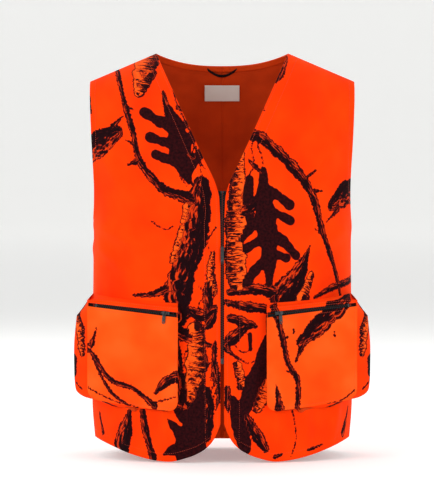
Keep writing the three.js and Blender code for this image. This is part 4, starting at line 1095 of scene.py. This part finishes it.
def limb_field(x, z, points, radii):
    """Signed distance to a limb, with distance along it and share of its half width across it."""
    path, radius, at = segments(points, radii)
    best = np.full(x.shape, 1e6)
    along, across = np.zeros(x.shape), np.zeros(x.shape)
    for k in range(len(path) - 1):
        (ax, az), (bx, bz) = path[k], path[k + 1]
        dx, dz = bx - ax, bz - az
        length = math.hypot(dx, dz) + 1e-9
        t = np.clip(((x - ax) * dx + (z - az) * dz) / length**2, 0, 1)
        ox, oz = x - ax - t * dx, z - az - t * dz
        here = at[k] + t * length
        wide = mix(radius[k], radius[k + 1], t)
        knots = 1 + 0.13 * np.sin(here / 7.3 + ax) + 0.1 * np.sin(here / 3.1 + az)
        off = np.hypot(ox, oz)
        distance = off - wide * knots
        nearer = distance < best
        best = np.where(nearer, distance, best)
        along = np.where(nearer, here, along)
        across = np.where(nearer, np.sign(ox * dz - oz * dx) * off / np.maximum(wide, 0.5), across)
    return best, along, across


def leaf_field(x, z, base, tip, half, lobes):
    """Signed distance, near enough, to an oak leaf: a body and round-ended lobes that lean towards its tip."""
    bx, bz = base
    dx, dz = tip[0] - bx, tip[1] - bz
    length = math.hypot(dx, dz)
    dx, dz = dx / length, dz / length

    def spot(share, off):
        return (bx + dx * share * length + dz * off, bz + dz * share * length - dx * off)

    best, along, _ = limb_field(x, z, [spot(0, 0), spot(0.3, 3), spot(0.65, -2), spot(1, 2)],
                                (half * 0.1, half * 0.34, half * 0.31, half * 0.12))
    for k in range(lobes):
        for sign in (-1, 1):
            # Each lobe has its own length and lean, so that no two leaves are alike.
            whim = math.sin(bx * 0.37 + bz * 0.21 + 2.6 * k + 1.7 * sign)
            root = 0.14 + 0.72 * (k + 0.2 + 0.3 * (sign > 0)) / lobes
            reach = half * (0.78 + 0.26 * math.sin(math.pi * (k + 0.8) / lobes) + 0.13 * whim)
            lean = (0.62 + 0.28 * whim) * reach / length
            middle, end = spot(root + 0.35 * lean, sign * reach * 0.5), spot(root + lean, sign * reach)
            finger, _, _ = limb_field(x, z, [spot(root, 0), middle, end],
                                      (half * 0.3, half * (0.165 + 0.03 * whim), half * 0.18))
            # Lobes flow into the body.
            blend = np.clip(0.5 + 0.5 * (finger - best) / 4, 0, 1)
            best = mix(finger, best, blend) - 4 * blend * (1 - blend)
    off = ((x - bx) * dz - (z - bz) * dx) / half
    return best, along, off


def printed(shapes, across, up):
    """The print at each point of a cloth: signed distance to the nearest shape, and where it lies on it."""
    ink = np.full(across.shape, 60.0)
    along, side, kind = np.zeros(across.shape), np.zeros(across.shape), np.zeros(across.shape)
    for form, points, sizes, tone in shapes:
        if form == "limb":
            distance, here, off = limb_field(across, up, points, sizes)
        else:
            distance, here, off = leaf_field(across, up, *points, *sizes)
        # Solid leaves lie over the bark.
        nearer = distance < ink - (3 if tone == PALE else 0)
        ink = np.where(nearer, distance, ink)
        along, side, kind = (np.where(nearer, new, old) for new, old in ((here, along), (off, side), (tone, kind)))
    return {"ink": ink, "along_limb": along, "across_limb": side, "bark": kind}


def laid_out(shapes):
    """The same shapes with their points moved to where they lie along the cloth."""

    def moved(point):
        x, z = float(min(point[0], half_width(point[1]))), float(point[1])
        extra = max(point[0] - x, 0)
        a, b = print_place(np.array([x, 0.0, z]))
        return float(a) + extra, float(b)

    return [(form, [moved(p) for p in points], sizes, tone) for form, points, sizes, tone in shapes]


# ---- Bellows pockets ---------------------------------------------------------------------------------

FACE_START, FACE_END = np.array([*POCKET_INNER, 0.0]), np.array([*POCKET_OUTER, 0.0])
FACE_WIDTH = float(np.linalg.norm(FACE_END - FACE_START))
FACE_ALONG = (FACE_END - FACE_START) / FACE_WIDTH
FACE_OUT = np.array([FACE_ALONG[1], -FACE_ALONG[0], 0.0])
UPWARDS = np.array([0.0, 0.0, 1.0])

# Folds on each pocket face, as (start, end, width, height): distance from the edge near the zip, and height.
POCKET_FOLDS = {
    "right": [((172, 196), (70, 122), 11, 6.0), ((40, 250), (70, 190), 16, 2.0), ((130, 262), (120, 200), 16, 2.2),
              ((12, 130), (60, 108), 9, 2.6)],
    "left": [((20, 262), (44, 180), 12, 2.6), ((150, 262), (130, 190), 18, 2.4), ((160, 130), (90, 108), 11, 4.6),
             ((12, 120), (50, 100), 10, 2.0)],
}


# s is a share of the way along a pocket, 0 at its edge near the zip and 1 near the side seam.


def mouth_height(s):
    return mix(*POCKET_MOUTH, s)


def bottom_height(s):
    return mix(*POCKET_BOTTOM, s**1.6)


def face_point(s, z, depth=0.0):
    s, z, depth = np.broadcast_arrays(s, z, depth)
    line = FACE_START + (FACE_END - FACE_START) * s[..., None] - FACE_OUT * depth[..., None]
    return line + UPWARDS * z[..., None]


def seam_point(s, z, side):
    """The pocket's seam on the front: at its inner edge, then round to near the side seam."""
    s, z = np.broadcast_arrays(np.asarray(s, float), np.asarray(z, float))
    p = front_point(mix(turn_of(POCKET_INNER[0], z), POCKET_SEAM_SHARE, s), z)
    away = p * np.array([1, 1.4, 0]) / np.linalg.norm(p * np.array([1, 1.4, 0]), axis=-1, keepdims=True)
    stand = lie(p, side, False, np.full(s.shape, 60.0))
    return p + away * (np.maximum(stand, -0.5) + 0.7)[..., None]


def pocket_face_at(s, t, side):
    """A point of the pocket's face by its shares across and up, with its distance across and its height."""
    from_edge = np.minimum(s, 1 - s) * FACE_WIDTH
    short = np.clip(POCKET_CORNER - from_edge, 0, POCKET_CORNER)
    corner = POCKET_CORNER - np.sqrt(POCKET_CORNER**2 - short**2)
    z = mix(bottom_height(s) + corner, mouth_height(s) - EDGE_HALF - MOUTH_EASE * (1 - s), t)
    bulge = POCKET_BULGE * np.sin(math.pi * s) * np.sin(math.pi * t**0.6) ** 2
    a = s * FACE_WIDTH
    folds = sum(ridge(a, z, *fold) for fold in POCKET_FOLDS[side])
    ripple = 1.0 * wave(a / 22, z / 30, 31) + 0.4 * wave(a / 8, z / 9, 32)
    # Smooth for as far as the pull hangs down from the mouth.
    edge = fade(0, 16, from_edge) * fade(0, 14, z - bottom_height(s) - corner) * fade(12, 46, mouth_height(s) - z)
    pucker = puckers(z + a, np.minimum(from_edge, (z - bottom_height(s) - corner)) - 3, 6) * 1.2
    stitched = groove(np.minimum(np.minimum(from_edge, z - bottom_height(s) - corner), mouth_height(s) - z) - 4)
    stand = bulge + (folds + ripple) * edge + pucker + stitched
    return face_point(s, z) + FACE_OUT * stand[..., None], a, z


def pocket_face(side):
    s, t = np.meshgrid(np.linspace(0, 1, 96), np.linspace(0, 1, 92))
    p, a, z = pocket_face_at(s, t, side)
    n = normals_of(p, np.broadcast_to(FACE_OUT, p.shape))
    fields = printed(POCKET_PRINT[side], a, z)
    outer = mirrored(p, side)
    # The face gets the lighter copy of the tricot: painted light.
    made = sheet(f"pocket_face_cloth_{side}", outer, mirrored(p - n * CLOTH, side), (POCKET_BLAZE_PAINTED_LIGHT, LINING), fields,
                 (a, z))
    as_cloth(made, [f"pocket_face_{side}"], f"front_{side}")


def gusset_outline():
    """Shares across and heights of the pocket's edge, from its mouth near the zip, round, to the other end."""
    border, corner = 0.8 / FACE_WIDTH, POCKET_CORNER / FACE_WIDTH
    lift = POCKET_BAND + EDGE_HALF - CLOTH - 4 * GAP
    turn = np.radians(np.linspace(0, 90, 9))
    down = np.linspace(0, 1, 48)[:-1]
    ends = []
    for share, bottom, mouth in ((0, POCKET_BOTTOM[0], POCKET_MOUTH[0]), (1, POCKET_BOTTOM[1], POCKET_MOUTH[1])):
        straight_z = mix(mouth + lift, bottom + POCKET_CORNER, down)
        round_s = border + corner * (1 - np.cos(turn))
        round_z = bottom + POCKET_CORNER * (1 - np.sin(turn))
        s = np.r_[np.full(len(down), border), round_s]
        ends.append((s if share == 0 else 1 - s, np.r_[straight_z, round_z]))
    bottom_s = np.linspace(corner, 1 - corner, 60)[1:-1]
    s = np.r_[ends[0][0], bottom_s, ends[1][0][::-1]]
    z = np.r_[ends[0][1], bottom_height(bottom_s) + 0.8, ends[1][1][::-1]]
    return s, z


def pocket_gusset(side):
    """The bellows round three sides of a pocket, from its face back to its seam on the front."""
    s, z = gusset_outline()
    last = len(s) - 1
    k = np.arange(last + 1)
    top = np.clip(1 - np.minimum(k, last - k) / 9, 0, 1)
    near = face_point(s, z, CLOTH + GAP)
    far = seam_point(s, z + POCKET_ROOF_RISE * top, side)
    depth = np.linalg.norm(near - far, axis=1)
    r = np.linspace(0, 1, 30)
    p = near[:, None] + (far - near)[:, None] * r[None, :, None]
    swell = np.sin(math.pi * r)[None, :] * depth[:, None]
    outer_side, bottom_part = fade(0.86, 0.99, s), fade(0.02, 0.12, s) * (1 - fade(0.9, 1.0, s))
    height = (z - POCKET_BOTTOM[0]) / 165
    belly = (0.34 + 0.1 * np.sin(height * math.pi)) * outer_side * (1 - top)
    p = p + np.array([0.99, 0.1, 0]) * (swell * belly[:, None])[..., None]
    p = p - UPWARDS * (swell * (0.1 * bottom_part)[:, None])[..., None]
    run = np.r_[0, np.cumsum(np.linalg.norm(np.diff(near, axis=0), axis=1))]
    back = r[None, :] * depth[:, None]
    n = normals_of(p, p - (near.mean(axis=0) + far.mean(axis=0)) / 2)
    # The bellows crease along their middle and crumple a little down the outer side.
    crease = -0.1 * depth[:, None] * np.exp(-(((r - 0.5) / 0.09) ** 2))[None, :]
    crumple = 2.4 * wave(run[:, None] / 13, back / 24, 41) * (np.sin(math.pi * r) ** 0.8)[None, :]
    stand = crease + crumple * np.clip(depth / 60, 0, 1)[:, None]
    p = p + n * (stand * (1 - top)[:, None])[..., None]
    n = normals_of(p, p - (near.mean(axis=0) + far.mean(axis=0)) / 2)
    fields = printed(GUSSET_PRINT, np.broadcast_to(run[:, None], back.shape), back)
    outer = mirrored(p, side)
    made = sheet(f"pocket_gusset_cloth_{side}", outer, mirrored(p - n * FACING, side), (BLAZE, LINING), fields,
                 (np.broadcast_to(run[:, None], back.shape), back))
    as_cloth(made, [f"pocket_gusset_{side}"], f"front_{side}")


def pocket_roof_at(s, r, side):
    """The band above the mouth, for r up to BAND_SHARE, and then the roof back to the seam on the front."""
    low = mouth_height(s) + EDGE_HALF
    # The band gets lower towards its outer end.
    high = low + POCKET_BAND * (1 - 0.4 * fade(0.84, 1, s))
    band = np.clip(r / BAND_SHARE, 0, 1)
    slope = np.clip((r - BAND_SHARE) / (1 - BAND_SHARE), 0, 1)
    rim = face_point(s, mix(low, high, band))
    seat = seam_point(s, high + POCKET_ROOF_RISE, side)
    p = rim + (seat - rim) * slope[..., None]
    depth = np.linalg.norm(seat - rim, axis=-1)
    sag = 0.06 * depth * np.sin(math.pi * slope) + 1.2 * wave(s * 9, slope * 3, 51) * np.sin(math.pi * slope)
    return p - UPWARDS * sag[..., None] + FACE_OUT * (groove((r - 0.3) * 20))[..., None]


def pocket_roof(side):
    rows = np.r_[np.linspace(0, BAND_SHARE, 12), np.linspace(BAND_SHARE, 1, 24)[1:]]
    s, r = np.meshgrid(np.linspace(0, 1, 96), rows)
    p = pocket_roof_at(s, r, side)
    n = normals_of(p, np.broadcast_to(FACE_OUT + UPWARDS, p.shape))
    a = s * FACE_WIDTH
    fields = printed(POCKET_PRINT[side], a, POCKET_MOUTH[0] + 8 + r * 20)
    outer = mirrored(p, side)
    made = sheet(f"pocket_roof_cloth_{side}", outer, mirrored(p - n * CLOTH, side), (BLAZE, LINING), fields,
                 (a, p[..., 2]))
    as_cloth(made, [f"pocket_roof_{side}"], f"front_{side}")


# ---- Zips --------------------------------------------------------------------------------------------


class ZipLine:
    """A straight zip: across it, into the cloth, and along it to its closed end, from a starting point."""

    def __init__(self, start, across, inward, along, length):
        self.start, self.across, self.inward, self.along = (np.array(k, float) for k in (start, across, inward, along))
        self.length = length

    def at(self, across, depth, along):
        across, depth, along = np.broadcast_arrays(across, depth, along)
        return (self.start + self.across * across[..., None] + self.inward * depth[..., None]
                + self.along * along[..., None])


def front_zip_line():
    return ZipLine((0, -FRONT_DEPTH, 0), (1, 0, 0), (0, 1, 0), (0, 0, 1), V_BOTTOM)


def pocket_zip_line():
    start = face_point(1.0, mouth_height(1.0))
    end = face_point(0.0, mouth_height(0.0))
    along = (end - start) / np.linalg.norm(end - start)
    inward = -FACE_OUT
    return ZipLine(start, np.cross(inward, along), inward, along, float(np.linalg.norm(end - start)))


def zip_tape(name, line, side, sign, width, start, end, node, body):
    """A woven tape with a thick cord along the edge that carries the teeth."""
    w = np.r_[np.linspace(0, 1.6, 8), np.linspace(1.6, width, 14)[1:]]
    along = np.linspace(start, end, int((end - start) / 2.0))
    across, run = np.meshgrid(sign * (TAPE_EDGE + w), along)
    cord = 0.5 * np.exp(-(((w - 0.55) / 0.5) ** 2))[None, :]
    ripple = 0.08 * np.sin(run / 2.1) * fade(2, 6, w)[None, :]
    front = CLOTH + GAP - cord + ripple
    back = CLOTH + GAP + TAPE + cord + ripple
    p, q = line.at(across, front, run), line.at(across, back, run)
    outer = mirrored(p, side)
    made = sheet(name, outer, mirrored(q, side), (TAPE_WEAVE, TAPE_WEAVE), None, (across, run))
    as_cloth(made, [node], body)


def geometry_nodes(name):
    tree = bpy.data.node_groups.new(name, "GeometryNodeTree")
    tree.interface.new_socket("Geometry", in_out="INPUT", socket_type="NodeSocketGeometry")
    tree.interface.new_socket("Geometry", in_out="OUTPUT", socket_type="NodeSocketGeometry")
    return tree


def repeat_tree(name, sizes):
    """A tree that sets small rounded pieces at an even pitch along the paths that it is given. Each path point
    says which way the piece faces in its attribute "facing"."""
    tree = geometry_nodes(name)
    for key, value in sizes.items():
        socket = tree.interface.new_socket(key, in_out="INPUT", socket_type="NodeSocketFloat")
        socket.default_value = value * MM
    tree.interface.new_socket("Material", in_out="INPUT", socket_type="NodeSocketMaterial")
    start = add_node(tree, "NodeGroupInput").outputs
    curve = add_node(tree, "GeometryNodeMeshToCurve", None, {"Mesh": start["Geometry"]})
    even = add_node(tree, "GeometryNodeResampleCurve", {"mode": "LENGTH"},
                    {"Curve": curve.outputs[0], "Length": start["Pitch"]})
    size = add_node(tree, "ShaderNodeCombineXYZ", None,
                    {"X": start["Length"], "Y": start["Width"], "Z": start["Height"]})
    block = add_node(tree, "GeometryNodeMeshCube", None, {"Size": size.outputs[0]})
    soft = add_node(tree, "GeometryNodeSubdivisionSurface", None, {"Mesh": block.outputs[0], "Level": 1})
    facing = add_node(tree, "GeometryNodeInputNamedAttribute", {"data_type": "FLOAT_VECTOR"}, {"Name": "facing"})
    tangent = add_node(tree, "GeometryNodeInputTangent")
    up = add_node(tree, "FunctionNodeAlignRotationToVector", {"axis": "Z"}, {"Vector": facing.outputs[0]})
    turn = add_node(tree, "FunctionNodeAlignRotationToVector", {"axis": "X", "pivot_axis": "Z"},
                    {"Rotation": up.outputs[0], "Vector": tangent.outputs[0]})
    spread = add_node(tree, "GeometryNodeInstanceOnPoints", None,
                      {"Points": even.outputs[0], "Instance": soft.outputs[0], "Rotation": turn.outputs[0]})
    real = add_node(tree, "GeometryNodeRealizeInstances", None, {"Geometry": spread.outputs[0]})
    flat = add_node(tree, "GeometryNodeSetShadeSmooth", None, {0: real.outputs[0]})
    paint = add_node(tree, "GeometryNodeSetMaterial", None,
                     {"Geometry": flat.outputs[0], "Material": start["Material"]})
    add_node(tree, "NodeGroupOutput", None, {"Geometry": paint.outputs[0]})
    return tree


def repeated(name, tree, lines, sizes, finish, side):
    """A plain mesh of the tree's pieces set along lines, each a pair of points and facing directions."""
    points, facings, edges = [], [], []
    for line, facing in lines:
        first = len(points)
        points += (mirrored(line, side) * MM).tolist()
        facings += mirrored(facing, side).tolist()
        edges += [(k, k + 1) for k in range(first, len(points) - 1)]
    mesh = bpy.data.meshes.new(name + "_path")
    mesh.from_pydata(points, edges, [])
    layer = mesh.attributes.new("facing", "FLOAT_VECTOR", "POINT")
    layer.data.foreach_set("vector", np.array(facings, np.float32).ravel())
    source = bpy.data.objects.new(name + "_path", mesh)
    bpy.context.collection.objects.link(source)
    modifier = source.modifiers.new("repeat", "NODES")
    modifier.node_group = tree
    values = {key: value * MM for key, value in sizes.items()}
    values["Material"] = finish
    for item in tree.interface.items_tree:
        if item.in_out == "INPUT" and item.name in values:
            modifier[item.identifier] = values[item.name]
    shown = source.evaluated_get(bpy.context.evaluated_depsgraph_get())
    plain = bpy.data.meshes.new_from_object(shown)
    plain.name = name
    made = bpy.data.objects.new(name, plain)
    bpy.context.collection.objects.link(made)
    bpy.data.objects.remove(source)
    return made


TOOTH = {"Length": 2.3, "Width": 4.2, "Height": 3.4, "Pitch": TOOTH_PITCH}
STITCH = {"Length": 2.5, "Width": 0.75, "Height": 0.6, "Pitch": 3.3}


def zip_teeth(name, line, side, sign, start, end, node, body, tree):
    """One row of moulded teeth, half a pitch away from the row across from it."""
    shift = TOOTH_PITCH / 2 if sign < 0 else 0.0
    along = np.array([start + TOOTH_INSET + shift, end - TOOTH_INSET - (TOOTH_PITCH / 2 - shift)])
    middle = (CHAIN_FRONT + CHAIN_BACK) / 2
    row = line.at(np.full(2, sign * TOOTH_MIDDLE), np.full(2, middle), along)
    facing = np.broadcast_to(-line.inward, (2, 3))
    teeth = repeated(name, tree, [(row, facing)], TOOTH, NYLON, side)
    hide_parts(node)
    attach(teeth, body)


def zips(side, tooth_tree):
    body = f"front_{side}"
    line = front_zip_line()
    zip_tape(f"zip_tape_cloth_{side}", line, side, 1, ZIP_TAPE_WIDTH, ZIP_BOTTOM, V_BOTTOM, f"zip_tape_{side}", body)
    # The wearer's-right row is the mirror of the left one, so its shift is given by the side.
    row = 1 if side == "left" else -1
    shifted = ZipLine(line.start, line.across * row, line.inward, line.along, line.length)
    zip_teeth(f"zip_teeth_row_{side}", shifted, side, row, TEETH_BOTTOM, TEETH_TOP, f"zip_teeth_{side}", body,
              tooth_tree)
    mouth = pocket_zip_line()
    ends = (POCKET_ZIP_INSET, mouth.length - POCKET_ZIP_INSET)
    for place, sign, width in (("upper", 1, POCKET_BAND - CLOTH), ("lower", -1, POCKET_TAPE_WIDTH)):
        zip_tape(f"pocket_zip_tape_cloth_{place}_{side}", mouth, side, sign, width, 4, mouth.length,
                 f"pocket_zip_tape_{place}_{side}", body)
        zip_teeth(f"pocket_zip_teeth_row_{place}_{side}", mouth, side, sign, *ends,
                  f"pocket_zip_teeth_{place}_{side}", body, tooth_tree)


# ---- Hanger loop and label -----------------------------------------------------------------------------


def hanger_loop():
    """A folded tape sewn at both ends inside the back of the neck, standing off and hanging a little lower."""
    half, width, sag, stand, clear = 26, 6, 11, 6, 0.7
    share = np.linspace(-1, 1, 70)
    bow = np.cos(share * math.pi / 2)
    z = float(back_top_line(np.array(float(half))))
    edge = back_point(turn_of(np.array(float(half)), z), z)
    out = np.array([0.0, 0.64, 0.77])
    up = np.array([0.0, -0.77, 0.64])
    inside = CLOTH + GAP + FACING + clear
    middle = np.stack([share * half, np.full(share.shape, edge[1]), np.full(share.shape, z)], axis=1)
    middle = middle - out * (inside + stand * bow)[:, None] - up * (width + sag * bow)[:, None]
    across = np.linspace(-width / 2, width / 2, 9)
    p = middle[None] + up * across[:, None, None]
    made = sheet("hanger_loop_tape", p, p - out * FACING, (TAPE_WEAVE, TAPE_WEAVE), None,
                 (np.broadcast_to(across[:, None], p.shape[:2]), np.broadcast_to(share * half, p.shape[:2])))
    as_cloth(made, ["hanger_loop"], "vest")


def neck_label():
    """A blank woven label, sewn flat inside the back below the neck."""
    low, high = (np.array(k) * 1000 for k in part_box("neck_label"))
    x, z = np.meshgrid(np.linspace(low[0], high[0], 40), np.linspace(low[2], high[2], 24))
    y = back_point(turn_of(np.abs(x), z), z)[..., 1]
    p = np.stack([x, y, z], axis=-1)
    n = normals_of(p, outward_of(p))
    behind = CLOTH + GAP + LABEL_DEPTH
    outer = p - n * behind
    made = sheet("neck_label_cloth", outer, p - n * (behind + TAPE), (LABEL_SATIN, LABEL_SATIN), None, (x, z))
    as_cloth(made, ["neck_label"], "vest")


# ---- Stitches ----------------------------------------------------------------------------------------


def middle_line(points, facing, lift):
    """The middle one of three lines close together on a surface, as points and facing directions."""
    n = normals_of(points, facing)
    return points[1] + n[1] * lift, n[1]


def panel_line(u, v, side, is_back, apart):
    """A line on a panel, through shares across and up. apart sets the lines beside it."""
    beside = np.array([-1, 0, 1])[:, None]
    p, _ = cloth_face(np.clip(u + apart[0] * beside, 0, 1), np.clip(v + apart[1] * beside, 0, 1), side, is_back)
    return middle_line(p, outward_of(p), STITCH_LIFT)


def rise_share(surface, u, rise):
    """The height share that lies a given rise above the hem."""
    low, top = surface(u, np.zeros_like(u))[:, 2], surface(u, np.ones_like(u))[:, 2]
    return 1 - (1 - rise / (top - low)) ** (1 / EASING)


def panel_stitches(side, is_back):
    """Rows along the armhole, the hem and the shoulder, and on a front beside its free edge."""
    surface = back_surface if is_back else front_surface
    armpit = height_share(surface, 1.0, ARMPIT_HEIGHT)
    up, across = np.linspace(0.012, 0.985, 420), np.linspace(0.01, 0.99, 260)
    upper = np.linspace(armpit + 0.01, 0.985, 240)
    at_armhole = 1 - (ARMHOLE_FACING_WIDTH - STITCH_INSIDE) / row_length(surface, upper)
    at_hem = rise_share(surface, across, HEM_WIDTH - STITCH_INSIDE)
    up_apart, across_apart = (0.004, 0), (0, 0.003)
    lines = [
        panel_line(at_armhole, upper, side, is_back, up_apart),
        panel_line(across, at_hem, side, is_back, across_apart),
        panel_line(across, np.full_like(across, 0.984), side, is_back, across_apart),
    ]
    if not is_back:
        for inset in (STITCH_FROM_EDGE, FRONT_FACING_WIDTH - STITCH_INSIDE):
            lines.append(panel_line(inset / row_length(surface, up), up, side, is_back, up_apart))
    return lines


def pocket_stitches(side):
    """Rows of stitches round the pocket's face and along both sides of its mouth."""
    beside = np.array([-1, 0, 1])[:, None]
    inset, high = 4 / FACE_WIDTH, 0.97
    t, s = np.linspace(0.11, high, 90), np.linspace(0.03, 0.97, 90)
    rows = [(share + 0.01 * beside, t) for share in (inset, 1 - inset)]
    rows += [(s, level + 0.005 * beside) for level in (0.026, high + 0.006)]
    lines = []
    for u, v in rows:
        p, _, _ = pocket_face_at(*np.broadcast_arrays(u, v), side)
        lines.append(middle_line(p, np.broadcast_to(FACE_OUT, p.shape), POCKET_STITCH_LIFT))
    for level in (0.1, 0.3):
        p = pocket_roof_at(s, np.full_like(s, level), side)
        facing = np.broadcast_to(FACE_OUT, p.shape)
        lines.append((p + facing * POCKET_STITCH_LIFT, facing))
    return lines


def stitches(side, tree):
    rows = repeated(f"front_stitches_{side}", tree, panel_stitches(side, False), STITCH, THREAD, side)
    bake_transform(rows)
    rows = repeated(f"back_stitches_{side}", tree, panel_stitches(side, True), STITCH, THREAD, side)
    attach(rows, "vest")
    rows = repeated(f"pocket_stitches_{side}", tree, pocket_stitches(side), STITCH, THREAD, side)
    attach(rows, f"front_{side}")


# ---- Making ------------------------------------------------------------------------------------------

studio()
for table in (FRONT_PRINT, BACK_PRINT):
    for side in table:
        table[side] = laid_out(table[side])
finish_metal()
stitch_tree = repeat_tree("stitch_rows", STITCH)
tooth_tree = repeat_tree("moulded_tooth_rows", TOOTH)
for side in ("left", "right"):
    front_panel(side)
    back_half(side)
    linings(side)
    pocket_face(side)
    pocket_gusset(side)
    pocket_roof(side)
    zips(side, tooth_tree)
    stitches(side, stitch_tree)
hanger_loop()
neck_label()
